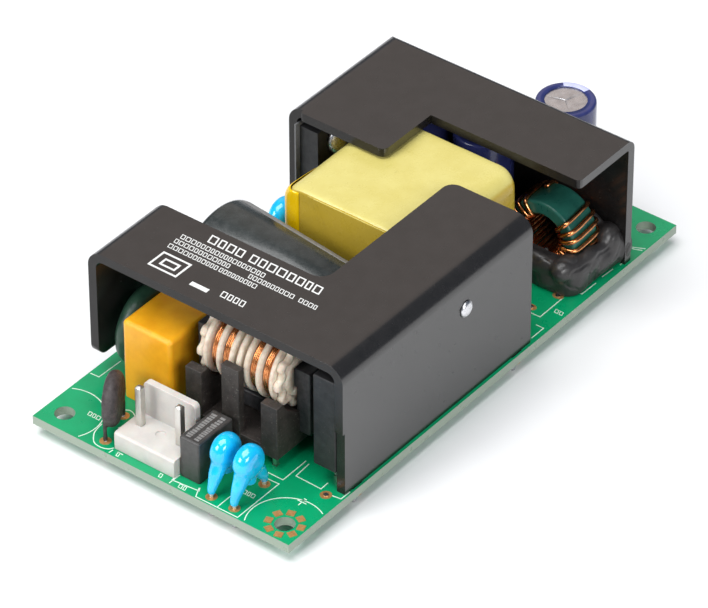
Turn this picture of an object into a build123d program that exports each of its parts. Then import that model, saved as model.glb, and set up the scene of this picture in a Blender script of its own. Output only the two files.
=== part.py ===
from build123d import *
import os
from math import atan, cos, degrees, hypot, pi, radians, sin

# An open-frame AC to DC power supply on one circuit board, in millimetres.
# Board places run from the input end along x and from the near long edge along y.
# Heights run from the top face of the board. The part's own frame has its origin under
# the middle of the board, at the level of the clipped lead ends that the board stands on.

# Circuit board
board_length = 101.6
board_width = 50.8
board_thickness = 1.6
mount_inset = 3.55
mount_radius = 1.65
ground_pad_count = 8
ground_pad_start = 17.5
ground_pad_length = 1.3
ground_pad_width = 1.2
ground_pad_thickness = 0.1
ground_pad_gap = 0.4

# Leads, their holes and the solder under the board
lead_side = 0.7
lead_anchor = 1.0
drill_clearance = 0.1
cut_margin = 1.0
solder_height = 2.0
solder_radius = 1.1
solder_tip_radius = 0.45
solder_sides = 8

# Folded sheet of both heatsinks
sheet = 1.6
bend_radius = 3.0
rear_bend_radius = 2.0
sink_top = 24.4
plate_corner = 2.0
lug_width = 2.4
lug_inset = 3.6
rear_lug_inset = 6.0
screw_radius = 1.5
screw_hole_play = 0.1
screw_height = 17.4
screw_end = 0.5
screw_head_radius = 2.8
screw_head_height = 2.0

# Front heatsink: near wall, plate with one notch, short far flange
front_sink_x = 14.0
front_strip_length = 16.0
front_arm_length = 48.2
front_arm_width = 16.1
near_wall_y = 0.5
far_flange_margin = 0.35
far_flange_drop = 20.6
notch_radius = 2.5
wall_step_height = 12.0
wall_step_depth = 0.5

# Rear heatsink: rear wall, far wall, plate with one step
rear_sink_x = 62.3
rear_wall_x = 89.4
rear_near_y = 0.5
rear_far_y = 49.65
rear_step_x = 74.5
rear_step_y = 29.8
rear_plate_corner = 1.3
far_wall_setback = 0.75
far_wall_bottom = 0.0
wall_slit = 0.4

# Input header
header_x = 1.6
header_y = 23.65
header_width = 11.9
header_depth = 7.6
header_base = 3.3
header_wall = 1.2
header_wall_top = 9.7
header_wall_inset = 0.8
header_pin_x = 5.7
header_pin_spacing = 7.92
header_pin_side = 1.14
header_pin_top = 10.8
header_dimple_radius = 0.8
header_dimple_depth = 0.3
header_pin_taper = 0.28

# Fuse
fuse_x = 2.8
fuse_y = 19.6
fuse_length = 8.4
fuse_width = 3.9
fuse_height = 7.8
fuse_lead_spacing = 5.08
fuse_corner = 0.4

# Inrush thermistor
thermistor_x = 5.4
thermistor_y = 38.7
thermistor_turn = 28.0
thermistor_lead_turn = 15.0
thermistor_radius = 4.5
thermistor_thickness = 2.4
thermistor_centre = 6.0
thermistor_lead_spacing = 6.66

# Film capacitor across the mains
film_x = 12.6
film_y = 33.0
film_length = 16.3
film_width = 9.8
film_height = 15.0
film_corner = 0.8
film_lead_spacing = 15.0

# Surge varistor
varistor_x = 21.7
varistor_y = 45.0
varistor_radius = 7.3
varistor_thickness = 3.4
varistor_centre = 7.7
varistor_lead_spacing = 7.5

# Line choke: closed core, sectioned bobbin with toothed end flanges, four windings, base
choke_x = 19.8
choke_y = 20.9
choke_axis = 14.8
core_width = 3.8
core_leg = 3.6
core_end_leg = 2.7
core_span = 22.0
core_lower_leg = 3.0
core_bottom = 4.6
bobbin_length = 16.2
bobbin_bore_play = 0.2
bobbin_barrel = 3.4
disc_radius = 6.0
disc_thickness = 0.9
disc_centres = (1.45, 3.85)
end_disc_thickness = 0.9
tooth_count = 10
tooth_depth = 0.9
tooth_thickness = 1.2
winding_radius = 5.0
base_width = 15.0
base_length = 18.0
base_block = 3.2
base_bottom = 2.5
base_floor = 4.2
base_top = 12.4
base_clearance = 0.3
barrier_thickness = 1.4
barrier_width = 3.4
barrier_top = 16.4
choke_pin_inset = 1.6

# Blue suppression capacitors
y_cap_x = 5.4
y_cap_places = (16.4, 11.9)
y_cap_radius = 2.95
y_cap_thickness = 3.5
y_cap_rim = 1.2
y_cap_centre = 6.85
y_cap_lead_spacing = 7.3
y_cap_leg_top = 1.3
y_cap_leg_end = 0.9
y_cap_bare_end = 0.8
y_cap_hip_out = 0.55
y_cap_hip_down = 0.45
y_cap_leg_overlap = 0.2
far_y_cap_x = 57.5
far_y_cap_y = 46.5
far_y_cap_radius = 3.3

# Bridge rectifier
bridge_x = 14.3
bridge_length = 22.0
bridge_thickness = 4.3
bridge_bottom = 3.5
bridge_top = 20.9
bridge_gap = 0.1
bridge_lead_spacing = 5.08
bridge_lead_count = 4
bridge_chamfer = 2.5

# Bulk capacitor lying across the board
bulk_far_x = 38.9
bulk_far_y = 45.3
bulk_turn = 2.8
bulk_lift = 4.4
bulk_length = 35.8
bulk_radius = 9.05
sleeve_wall = 0.2
bulk_shoulder = 0.8
bulk_groove_place = 3.4
bulk_groove_depth = 0.7
bulk_seal_depth = 1.2
sleeve_lip = 1.3
bulk_lead_spacing = 7.5
bulk_lead_reach = 1.2

# Transformer
transformer_x = 48.3
transformer_y = 11.3
transformer_length = 24.8
transformer_width = 27.6
transformer_top = 22.2
tape_wall = 0.4
tape_bottom = 4.2
tape_corner = 1.6
tape_shoulder = 3.0
rail_width = 4.6
rail_height = 3.8
rail_bottom = 0.4
ferrite_depth = 11.5
ferrite_yoke = 4.0
ferrite_leg = 5.0
ferrite_window = 2.8
winding_margin = 0.5
bobbin_flange = 0.8
transformer_pins_a_side = 5
transformer_pin_pitch = 4.5

# Transistor and rectifier, both in the same moulded case
case_width = 10.2
case_thickness = 4.5
case_top_above_screw = 3.3
case_height = 15.9
case_step = 0.8
case_lead_pitch = 2.54
pad_thickness = 0.3
pad_margin = 1.0
transistor_x = 44.9
rectifier_x = 68.5

# Upright electrolytic capacitors: three for the output, one small one for the controller's supply
output_cap_places = ((95.3, 18.2), (80.8, 23.9), (80.8, 34.6))
output_cap_radius = 5.0
output_cap_height = 20.8
supply_cap_place = (81.5, 43.9)
supply_cap_radius = 3.15
supply_cap_height = 11.5
upright_shoulder = 0.5
upright_lead_spacing = 5.0
supply_lead_spacing = 2.5
upright_groove_place = 2.4
upright_groove_depth = 0.45

# Output choke: green ring core, wire turns, black adhesive round its foot
ring_x = 78.3
ring_y = 10.2
ring_radius = 6.35
ring_bore = 3.85
ring_width = 6.35
wire = 0.75
wire_corner = 0.6
wire_play = 0.05
turn_count = 20
turn_start = -45.0
turn_step = 14.8
ring_lead_spacing = 9.0
glue_x = 74.6
glue_y = 1.4
glue_width = 16.4
glue_height = 6.0
glue_corner = 3.0
glue_edge = 2.0
glue_crest = 1.8
glue_play = 0.1

# Optocoupler
opto_x = 50.0
opto_gap = 0.6
opto_length = 6.5
opto_width = 4.6
opto_height = 3.5
opto_bottom = 0.5
opto_lead_span = 7.62
opto_lead_pitch = 2.54
opto_lead_thickness = 0.4

# Output header
output_header_x = 91.6
output_header_y = 26.0
output_header_depth = 7.6
output_pin_pitch = 3.96
output_pin_count = 4
output_header_margin = 2.0

# Small parts soldered flat under the board
chip_length = 4.9
chip_width = 3.9
chip_height = 1.5
chip_lead_reach = 1.0
chip_lead_width = 0.4
chip_lead_pitch = 1.27
chip_leads_a_side = 4
chip_place = (43.5, 22.0)
resistor_size = (2.0, 1.25, 0.5)
resistor_columns = 4
resistor_rows = 3
resistor_pitch = (4.2, 3.4)
resistor_place = (34.0, 29.5)
ceramic_size = (2.0, 1.25, 0.9)
ceramic_columns = 3
ceramic_rows = 2
ceramic_place = (56.0, 22.0)
diode_size = (4.3, 2.6, 1.4)
diode_columns = 1
diode_rows = 2
diode_pitch = (6.0, 5.0)
diode_place = (36.0, 14.0)


# Values worked out from the sizes above
board_top = solder_height + board_thickness
wall_inner_y = near_wall_y + sheet
rear_wall_inner_x = rear_wall_x - sheet
far_wall_inner_y = rear_far_y - sheet
plate_bottom = sink_top - sheet
far_flange_y = board_width - far_flange_margin
bridge_middle_y = wall_inner_y + bridge_gap + bridge_thickness / 2
transistor_y = wall_inner_y + pad_thickness + case_thickness / 2
rectifier_y = far_wall_inner_y - pad_thickness - case_thickness / 2
bulk_end_height = bulk_radius * cos(radians(bulk_lift))
bulk_can_radius = bulk_radius - sleeve_wall
bulk_can_length = bulk_length - sleeve_wall
bulk_shape = (bulk_shoulder, bulk_groove_place, bulk_groove_depth)
upright_shape = (upright_shoulder, upright_groove_place, upright_groove_depth)
inner_x = (transformer_x + tape_wall, transformer_x + transformer_length - tape_wall)
inner_y = (transformer_y + tape_wall, transformer_y + transformer_width - tape_wall)
inner_z = (tape_bottom, transformer_top - tape_wall)
transformer_middle_x = transformer_x + transformer_length / 2
transformer_middle_y = transformer_y + transformer_width / 2
core_window_y = (inner_y[0] + ferrite_leg, inner_y[1] - ferrite_leg)
centre_leg_half = (core_window_y[1] - core_window_y[0]) / 2 - ferrite_window
opto_y = transformer_y + transformer_width + opto_gap
core_window_z = (inner_z[0] + ferrite_yoke, inner_z[1] - ferrite_yoke)
ring_middle_x = ring_x + ring_width / 2
ring_reach = ring_radius + wire + wire_play
ring_lead_inner = ring_lead_spacing / 2 - lead_side / 2
ring_lead_top = ring_reach - (ring_reach**2 - ring_lead_inner**2) ** 0.5


def on_board(x, y, z=0.0):
    """A place on the board: from the input end, from the near edge, above the top face."""
    return Pos(x - board_length / 2, y - board_width / 2, board_top + z)


def block(x_span, y_span, z_span):
    """A plain block between two places on each axis."""
    spans = (x_span, y_span, z_span)
    sizes = [high - low for low, high in spans]
    return on_board(*[low for low, high in spans]) * Box(*sizes, align=(Align.MIN,) * 3)


def rounded_block(x_span, y_span, z_span, corner):
    """A block with every edge rounded but those it stands on."""
    solid = block(x_span, y_span, z_span)
    return fillet(solid.edges() - solid.faces().sort_by(Axis.Z)[0].edges(), corner)


def rod(start, end, start_radius, end_radius=None):
    """A straight round bar, or a taper, between two places on the board."""
    end_radius = start_radius if end_radius is None else end_radius
    length = hypot(*[b - a for a, b in zip(start, end)])
    axis = Plane(
        origin=on_board(*start).position,
        z_dir=Vector(*[b - a for a, b in zip(start, end)]),
    )
    on_end = (Align.CENTER, Align.CENTER, Align.MIN)
    if start_radius == end_radius:
        return axis * Cylinder(start_radius, length, align=on_end)
    return axis * Cone(start_radius, end_radius, length, align=on_end)


def lead(x, y, top, side=None):
    """A square lead from a height above the board to the underside of the board."""
    half = (lead_side if side is None else side) / 2
    return block((x - half, x + half), (y - half, y + half), (-board_thickness, top))


def round_lead(x, y, top):
    """A round lead from a height above the board to the underside of the board."""
    return rod((x, y, -board_thickness), (x, y, top), lead_side / 2)


def pair_about(x, y, spacing, turn=0.0):
    """Two lead places on one line through a centre."""
    reach_x = spacing / 2 * cos(radians(turn))
    reach_y = spacing / 2 * sin(radians(turn))
    return [(x - reach_x, y - reach_y), (x + reach_x, y + reach_y)]


# Lead places, one list for each component

def header_pins():
    middle = header_y + header_width / 2
    return pair_about(header_pin_x, middle, header_pin_spacing, 90)


def fuse_leads():
    return pair_about(fuse_x + fuse_length / 2, fuse_y + fuse_width / 2, fuse_lead_spacing)


def thermistor_leads():
    return pair_about(thermistor_x, thermistor_y, thermistor_lead_spacing, thermistor_lead_turn)


def film_leads():
    return pair_about(film_x + film_length / 2, film_y + film_width / 2, film_lead_spacing)


def varistor_leads():
    return pair_about(varistor_x, varistor_y, varistor_lead_spacing)


def choke_pins():
    reach_x = base_width / 2 - choke_pin_inset
    reach_y = base_length / 2 - choke_pin_inset
    return [(choke_x + i * reach_x, choke_y + j * reach_y) for i in (-1, 1) for j in (-1, 1)]


def y_cap_leads(x, y):
    return pair_about(x, y, y_cap_lead_spacing)


def bridge_leads():
    first = bridge_x + bridge_length / 2 - (bridge_lead_count - 1) / 2 * bridge_lead_spacing
    return [(first + i * bridge_lead_spacing, bridge_middle_y) for i in range(bridge_lead_count)]


def bulk_leads():
    """The two leads come straight out of the near end and turn down through the board."""
    reach = bulk_length * cos(radians(bulk_lift)) + bulk_lead_reach
    middle_x = bulk_far_x - reach * sin(radians(bulk_turn))
    middle_y = bulk_far_y - reach * cos(radians(bulk_turn))
    return pair_about(middle_x, middle_y, bulk_lead_spacing, -bulk_turn)


def transformer_pins():
    middle_y = transformer_y + transformer_width / 2
    first = middle_y - (transformer_pins_a_side - 1) / 2 * transformer_pin_pitch
    rows = (transformer_x + rail_width / 2, transformer_x + transformer_length - rail_width / 2)
    return [(x, first + i * transformer_pin_pitch) for x in rows for i in range(transformer_pins_a_side)]


def case_leads(x, y):
    return [(x + i * case_lead_pitch, y) for i in (-1, 0, 1)]


def upright_leads(x, y):
    return pair_about(x, y, upright_lead_spacing, 90)


def ring_leads():
    """The winding's two ends, under the ring's foot."""
    return pair_about(ring_middle_x, ring_y, ring_lead_spacing, 90)


def opto_leads():
    middle_x = opto_x + opto_length / 2
    middle_y = opto_y + opto_width / 2
    return [
        (middle_x + i * opto_lead_span / 2, middle_y + j * opto_lead_pitch / 2)
        for i in (-1, 1)
        for j in (-1, 1)
    ]


def output_pins():
    x = output_header_x + output_header_depth / 2
    first = output_header_y + output_header_margin
    return [(x, first + i * output_pin_pitch) for i in range(output_pin_count)]


def fine_leads():
    """Every round or square lead place that takes the common hole."""
    places = fuse_leads() + thermistor_leads() + film_leads() + varistor_leads() + choke_pins()
    for y in y_cap_places:
        places += y_cap_leads(y_cap_x, y)
    places += y_cap_leads(far_y_cap_x, far_y_cap_y)
    places += bridge_leads() + bulk_leads() + transformer_pins()
    places += case_leads(transistor_x, transistor_y) + case_leads(rectifier_x, rectifier_y)
    for x, y in output_cap_places:
        places += upright_leads(x, y)
    places += pair_about(*supply_cap_place, supply_lead_spacing, 90)
    places += ring_leads() + opto_leads()
    return places


def header_pin_places():
    return header_pins() + output_pins()


def lug_places():
    """Where the heatsink walls go down through the board: place and length along x and y."""
    wall_y = near_wall_y + sheet / 2
    wall_x = rear_wall_x - sheet / 2
    return [
        (front_sink_x + lug_inset, wall_y, lug_width, sheet),
        (front_sink_x + front_arm_length - lug_inset, wall_y, lug_width, sheet),
        (wall_x, rear_near_y + lug_inset, sheet, lug_width),
        (wall_x, rear_far_y - rear_lug_inset, sheet, lug_width),
    ]


def make_board():
    board = block((0, board_length), (0, board_width), (-board_thickness, 0))
    holes = []
    for x in (mount_inset, board_length - mount_inset):
        for y in (mount_inset, board_width - mount_inset):
            holes.append(on_board(x, y, -board_thickness / 2) * Cylinder(mount_radius, board_thickness * 2))
    drills = [(x, y, lead_side) for x, y in fine_leads()]
    drills += [(x, y, header_pin_side) for x, y in header_pin_places()]
    for x, y, side in drills:
        width = side + 2 * drill_clearance
        holes.append(on_board(x, y, -board_thickness / 2) * Box(width, width, board_thickness * 2))
    for x, y, length, width in lug_places():
        slot = Box(length + 2 * drill_clearance, width + 2 * drill_clearance, board_thickness * 2)
        holes.append(on_board(x, y, -board_thickness / 2) * slot)
    return board - holes


def make_ground_pads():
    """Small bare pads in a ring round the near input hole."""
    reach = mount_radius + ground_pad_gap + ground_pad_width / 2
    pads = []
    for i in range(ground_pad_count):
        turn = Rot(0, 0, ground_pad_start + i * 360 / ground_pad_count)
        pad = Box(ground_pad_width, ground_pad_length, ground_pad_thickness)
        centre = on_board(mount_inset, mount_inset, ground_pad_thickness / 2)
        pads.append(centre * turn * Pos(reach, 0, 0) * pad)
    return pads


def make_solder():
    """One cone of solder under each lead, which carries the board on its clipped end."""
    shrink = (solder_radius - solder_tip_radius) * cos(pi / solder_sides)
    foot = RegularPolygon(solder_radius, solder_sides)
    taper = degrees(atan(shrink / solder_height))
    cone = extrude(foot, -solder_height, taper=taper)
    places = fine_leads() + header_pin_places()
    places += [(x, y) for x, y, _, _ in lug_places()]
    return [on_board(x, y, -board_thickness) * cone for x, y in places]


def bent_outline(x_span, z_span, folds, radius):
    """A rectangle whose top corners are rounded where the sheet is folded down."""
    (low, high), (bottom, top) = x_span, z_span
    outline = Pos((low + high) / 2, (bottom + top) / 2) * Rectangle(high - low, top - bottom)
    tops = outline.vertices().group_by(Axis.Y)[-1].sort_by(Axis.X)
    return fillet([corner for corner, fold in zip((tops[0], tops[-1]), folds) if fold], radius)


def folded_profile(low, high, bottom, folds, radius):
    """The cross section of a sheet with a flat top and a wall folded down at one or both sides."""
    outer = bent_outline((low, high), (bottom, sink_top), folds, radius)
    inner_low = low + sheet if folds[0] else low - sheet
    inner_high = high - sheet if folds[1] else high + sheet
    inner_span = (bottom - sheet, plate_bottom)
    return outer - bent_outline((inner_low, inner_high), inner_span, folds, radius - sheet)


def screw_hole(x, y, z, turn):
    """A hole through a wall, as long as two sheets, along the wall's normal."""
    return on_board(x, y, z) * Rot(*turn) * Cylinder(screw_radius, sheet * 4)


def block_about(x, y, length, width, z_span):
    """A plain block centred on a place of the board."""
    return block((x - length / 2, x + length / 2), (y - width / 2, y + width / 2), z_span)


def make_lugs(places):
    """Tongues of the heatsink walls that go down through the board."""
    return [block_about(*place, (-board_thickness, sheet)) for place in places]


def make_front_heatsink():
    """One folded sheet: near wall down to the board, plate with a notch, short far flange."""
    length = front_arm_length
    profile = folded_profile(near_wall_y, far_flange_y, 0, (True, True), bend_radius)
    channel = on_board(front_sink_x, 0) * extrude(Plane.YZ * profile, length)
    arm_far = near_wall_y + front_arm_width
    plan = Polyline(
        (0, near_wall_y),
        (length, near_wall_y),
        (length, arm_far),
        (front_strip_length, arm_far),
        (front_strip_length, far_flange_y),
        (0, far_flange_y),
        close=True,
    )
    plan = make_face(plan)
    notch = plan.vertices().sort_by_distance((front_strip_length, arm_far, 0))[0]
    plan = fillet(notch, notch_radius)
    corners = [
        plan.vertices().sort_by_distance((length, arm_far, 0))[0],
        plan.vertices().sort_by_distance((front_strip_length, far_flange_y, 0))[0],
    ]
    plan = fillet(corners, plate_corner)
    sink = channel & (on_board(front_sink_x, 0) * extrude(plan, sink_top))
    flange_bottom = sink_top - far_flange_drop
    whole_x = (front_sink_x - cut_margin, front_sink_x + length + cut_margin)
    far_half = (board_width / 2, board_width + cut_margin)
    sink -= block(whole_x, far_half, (-cut_margin, flange_bottom))
    corner = block(
        (front_sink_x, front_sink_x + plate_corner),
        (far_flange_y - sheet - cut_margin, far_flange_y + cut_margin),
        (flange_bottom, flange_bottom + plate_corner),
    )
    centre = on_board(front_sink_x + plate_corner, far_flange_y, flange_bottom + plate_corner)
    sink -= corner - centre * Rot(90, 0, 0) * Cylinder(plate_corner, sheet * 4)
    step_x = (front_sink_x - cut_margin, front_sink_x + wall_step_depth)
    wall_span = (near_wall_y - cut_margin, wall_inner_y + cut_margin)
    sink -= block(step_x, wall_span, (-cut_margin, wall_step_height))
    sink += make_lugs(lug_places()[:2])
    sink -= screw_hole(transistor_x, near_wall_y + sheet / 2, screw_height, (90, 0, 0))
    return sink


def make_rear_heatsink():
    """One sheet folded down at the rear and at the far side, with a slit between the walls."""
    width = rear_far_y - rear_near_y
    length = rear_wall_x - rear_sink_x
    rear_profile = folded_profile(0, length, 0, (False, True), rear_bend_radius)
    rear_fold = on_board(rear_sink_x, rear_far_y) * extrude(Plane.XZ * rear_profile, width)
    far_folds = (False, True)
    far_profile = folded_profile(rear_near_y, rear_far_y, far_wall_bottom, far_folds, bend_radius)
    far_length = length - sheet - wall_slit
    far_fold = on_board(rear_sink_x, 0) * extrude(Plane.YZ * far_profile, far_length)
    crown = bent_outline((rear_near_y, rear_far_y), (0, sink_top), far_folds, bend_radius)
    rear_fold &= on_board(rear_sink_x, 0) * extrude(Plane.YZ * crown, length)
    bend_start = rear_far_y - bend_radius
    plan = make_face(
        Polyline(
            (far_wall_setback, rear_far_y),
            (far_wall_setback, bend_start),
            (0, bend_start),
            (0, rear_step_y),
            (rear_step_x - rear_sink_x, rear_step_y),
            (rear_step_x - rear_sink_x, rear_near_y),
            (length, rear_near_y),
            (length, rear_far_y),
            close=True,
        )
    )
    plan = fillet(plan.vertices().sort_by_distance((0, bend_start, 0))[0], far_wall_setback / 2)
    plan = fillet(plan.vertices().sort_by_distance((0, rear_step_y, 0))[0], rear_plate_corner)
    prism = on_board(rear_sink_x, 0) * extrude(plan, sink_top)
    far_strip = block(
        (rear_sink_x - cut_margin, rear_sink_x + far_length),
        (bend_start, rear_far_y + cut_margin),
        (-cut_margin, sink_top + cut_margin),
    )
    sink = (rear_fold & prism) - far_strip
    sink += far_fold & prism
    sink += make_lugs(lug_places()[2:])
    sink -= screw_hole(rectifier_x, rear_far_y - sheet / 2, screw_height, (90, 0, 0))
    return sink


def make_input_header():
    far_y = header_y + header_width
    rear_x = header_x + header_depth
    base = block((header_x, rear_x), (header_y, far_y), (0, header_base))
    base = chamfer(base.faces().sort_by(Axis.Z)[-1].edges().sort_by(Axis.X)[0], header_dimple_depth)
    wall = block(
        (rear_x - header_wall, rear_x),
        (header_y + header_wall_inset, far_y - header_wall_inset),
        (0, header_wall_top),
    )
    wall = fillet(wall.faces().sort_by(Axis.Z)[-1].edges().filter_by(Axis.X), header_wall_inset)
    housing = base + wall
    middle = header_y + header_width / 2
    dimple = Cylinder(header_dimple_radius, 2 * header_dimple_depth)
    housing -= on_board(header_pin_x, middle, header_base) * dimple
    for x, y in header_pins():
        housing -= on_board(x, y, header_base / 2) * Box(header_pin_side, header_pin_side, header_base * 2)
    return housing


def header_pin(x, y, top):
    """A square pin with a tapered tip."""
    half = header_pin_side / 2
    pin = block((x - half, x + half), (y - half, y + half), (-board_thickness, top))
    return chamfer(pin.faces().sort_by(Axis.Z)[-1].edges(), header_pin_taper)


def make_fuse():
    x_span = (fuse_x, fuse_x + fuse_length)
    y_span = (fuse_y, fuse_y + fuse_width)
    body = rounded_block(x_span, y_span, (0, fuse_height), fuse_corner)
    return body + [lead(x, y, lead_anchor) for x, y in fuse_leads()]


def coated_disc(radius, thickness, rim):
    """A dipped disc standing on its edge across y: flat faces and a rounded rim."""
    half = thickness / 2
    outline = Polyline((0, -half), (radius - rim, -half))
    bow = ThreePointArc((radius - rim, -half), (radius, 0), (radius - rim, half))
    back = Polyline((radius - rim, half), (0, half), (0, -half))
    face = make_face([outline, bow, back])
    return revolve(face, Axis.Y)


def make_thermistor():
    disc = coated_disc(thermistor_radius, thermistor_thickness, thermistor_thickness / 2)
    body = on_board(thermistor_x, thermistor_y, thermistor_centre) * Rot(0, 0, thermistor_turn) * disc
    return body + [round_lead(x, y, thermistor_centre) for x, y in thermistor_leads()]


def make_film_capacitor():
    x_span = (film_x, film_x + film_length)
    y_span = (film_y, film_y + film_width)
    body = rounded_block(x_span, y_span, (0, film_height), film_corner)
    return body + [lead(x, y, lead_anchor) for x, y in film_leads()]


def make_varistor():
    disc = coated_disc(varistor_radius, varistor_thickness, varistor_thickness / 3)
    body = on_board(varistor_x, varistor_y, varistor_centre) * disc
    return body + [round_lead(x, y, varistor_centre) for x, y in varistor_leads()]


def make_y_capacitor(x, y, radius):
    """A blue dipped disc whose coating runs down both legs, with a short bare end on each."""
    centre = y_cap_centre
    body = on_board(x, y, centre) * coated_disc(radius, y_cap_thickness, y_cap_rim)
    for leg_x, leg_y in y_cap_leads(x, y):
        side = 1 if leg_x > x else -1
        hip = (x + side * radius * y_cap_hip_out, y, centre - radius * y_cap_hip_down)
        foot = (leg_x, leg_y, y_cap_bare_end)
        body += rod(hip, foot, y_cap_leg_top, y_cap_leg_end)
        body += lead(leg_x, leg_y, y_cap_bare_end + y_cap_leg_overlap)
    return body


def make_choke_core():
    """A closed rectangular ferrite frame, standing on edge along y."""
    top = choke_axis + core_leg / 2
    frame = block(
        (choke_x - core_width / 2, choke_x + core_width / 2),
        (choke_y - core_span / 2, choke_y + core_span / 2),
        (core_bottom, top),
    )
    window = block(
        (choke_x - core_width, choke_x + core_width),
        (choke_y - core_span / 2 + core_end_leg, choke_y + core_span / 2 - core_end_leg),
        (core_bottom + core_lower_leg, choke_axis - core_leg / 2),
    )
    return frame - window


def disc_at(centre, thickness, radius):
    """A round plate across the choke's axis."""
    return on_board(choke_x, choke_y + centre, choke_axis) * Rot(90, 0, 0) * Cylinder(radius, thickness)


def toothed_flange(centre):
    """An end flange with blunt gear teeth, by which the bobbin is turned while it is wound."""
    flange = disc_at(centre, tooth_thickness, disc_radius - tooth_depth)
    middle = on_board(choke_x, choke_y + centre, choke_axis) * Rot(90, 0, 0)
    tooth_width = pi * disc_radius / tooth_count
    tooth = Pos(disc_radius - tooth_depth, 0, 0) * Box(2 * tooth_depth, tooth_width, tooth_thickness)
    for i in range(tooth_count):
        flange += middle * Rot(0, 0, i * 360 / tooth_count) * tooth
    return flange


def make_choke_bobbin():
    """Barrel, five section discs, and a disc with a toothed flange at each end."""
    half = bobbin_length / 2
    bobbin = disc_at(0, bobbin_length, bobbin_barrel)
    for centre in section_discs():
        bobbin += disc_at(centre, disc_thickness, disc_radius)
    for side in (-1, 1):
        end_disc = half - tooth_thickness - end_disc_thickness / 2
        bobbin += disc_at(side * end_disc, end_disc_thickness, disc_radius)
        bobbin += toothed_flange(side * (half - tooth_thickness / 2))
    bore = block(
        (choke_x - core_width / 2 - bobbin_bore_play, choke_x + core_width / 2 + bobbin_bore_play),
        (choke_y - half - cut_margin, choke_y + half + cut_margin),
        (choke_axis - core_leg / 2 - bobbin_bore_play, choke_axis + core_leg / 2 + bobbin_bore_play),
    )
    return bobbin - bore


def section_discs():
    near, far = disc_centres
    return (-far, -near, 0.0, near, far)


def winding_slots():
    """Middle and width of each of the four wound sections."""
    near, far = disc_centres
    end_inner = bobbin_length / 2 - tooth_thickness - end_disc_thickness
    inner = ((near + far) / 2, far - near - disc_thickness)
    outer = ((far + disc_thickness / 2 + end_inner) / 2, end_inner - far - disc_thickness / 2)
    return [(side * middle, width) for side in (-1, 1) for middle, width in (inner, outer)]


def make_choke_windings():
    coils = []
    for middle, width in winding_slots():
        coil = disc_at(middle, width, winding_radius) - disc_at(middle, width * 2, bobbin_barrel)
        coils.append(coil)
    return coils


def make_choke_base():
    """A black saddle: floor, an end block under each flange, and a barrier at the middle of each side."""
    x_span = (choke_x - base_width / 2, choke_x + base_width / 2)
    y_span = (choke_y - base_length / 2, choke_y + base_length / 2)
    base = block(x_span, y_span, (base_bottom, base_top))
    top = base_top + cut_margin
    base -= block(x_span, (y_span[0] + base_block, y_span[1] - base_block), (base_floor, top))
    base -= disc_at(0, base_length * 2, disc_radius + base_clearance)
    base -= block(
        (choke_x - core_width / 2, choke_x + core_width / 2),
        (y_span[0] - cut_margin, y_span[1] + cut_margin),
        (core_bottom, top),
    )
    barrier_reach = disc_radius + base_clearance
    for side in (-1, 1):
        low = choke_x + side * barrier_reach
        high = choke_x + side * (barrier_reach + barrier_thickness)
        base += block(
            (min(low, high), max(low, high)),
            (choke_y - barrier_width / 2, choke_y + barrier_width / 2),
            (base_bottom, barrier_top),
        )
    return base


def make_choke_pins():
    return [lead(x, y, base_bottom) for x, y in choke_pins()]


def make_bridge():
    """A flat moulded slab against the near wall, with one clipped top corner."""
    x_span = (bridge_x, bridge_x + bridge_length)
    y_span = (bridge_middle_y - bridge_thickness / 2, bridge_middle_y + bridge_thickness / 2)
    slab = block(x_span, y_span, (bridge_bottom, bridge_top))
    edge = slab.edges().filter_by(Axis.Y).group_by(Axis.Z)[-1].sort_by(Axis.X)[-1]
    return chamfer(edge, bridge_chamfer)


def make_bridge_leads():
    return [lead(x, y, bridge_bottom) for x, y in bridge_leads()]


def can_profile(radius, length, shoulder, groove_place, groove_depth):
    """Half section of a drawn can on the Z axis: open end at 0 with a rolled groove, closed end rounded."""
    return [
        (0, 0),
        (radius, 0),
        (radius, groove_place - groove_depth),
        (radius - groove_depth, groove_place),
        (radius, groove_place + groove_depth),
        (radius, length - shoulder),
        (radius - shoulder, length),
        (0, length),
    ]


def capacitor_can(radius, length, shoulder, groove_place, groove_depth):
    points = can_profile(radius, length, shoulder, groove_place, groove_depth)
    return revolve(make_face(Plane.XZ * Polyline(*points, close=True)), Axis.Z)


def capacitor_sleeve(radius, length, shoulder, groove_place, groove_depth, lip):
    """Shrunk film over the can, open in the middle of the closed end."""
    outer = can_profile(radius + sleeve_wall, length + sleeve_wall, shoulder, groove_place, groove_depth)
    film = revolve(make_face(Plane.XZ * Polyline(*outer, close=True)), Axis.Z)
    can = capacitor_can(radius, length, shoulder, groove_place, groove_depth)
    opening = Pos(0, 0, length) * Cylinder(radius - lip, 4 * sleeve_wall)
    return film - can - opening


def bulk_place():
    """Lays a can that stands on Z on its near rim, its closed end at the far side and a little raised."""
    reach = bulk_length * cos(radians(bulk_lift))
    near_x = bulk_far_x - reach * sin(radians(bulk_turn))
    near_y = bulk_far_y - reach * cos(radians(bulk_turn))
    return on_board(near_x, near_y, bulk_end_height) * Rot(0, 0, -bulk_turn) * Rot(bulk_lift - 90, 0, 0)


def bulk_seal():
    radius = bulk_can_radius - sleeve_lip
    return Cylinder(radius, bulk_seal_depth, align=(Align.CENTER, Align.CENTER, Align.MIN))


def make_bulk_can():
    return bulk_place() * (capacitor_can(bulk_can_radius, bulk_can_length, *bulk_shape) - bulk_seal())


def make_bulk_sleeve():
    return bulk_place() * capacitor_sleeve(bulk_can_radius, bulk_can_length, *bulk_shape, sleeve_lip)


def make_bulk_seal():
    return bulk_place() * bulk_seal()


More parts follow.
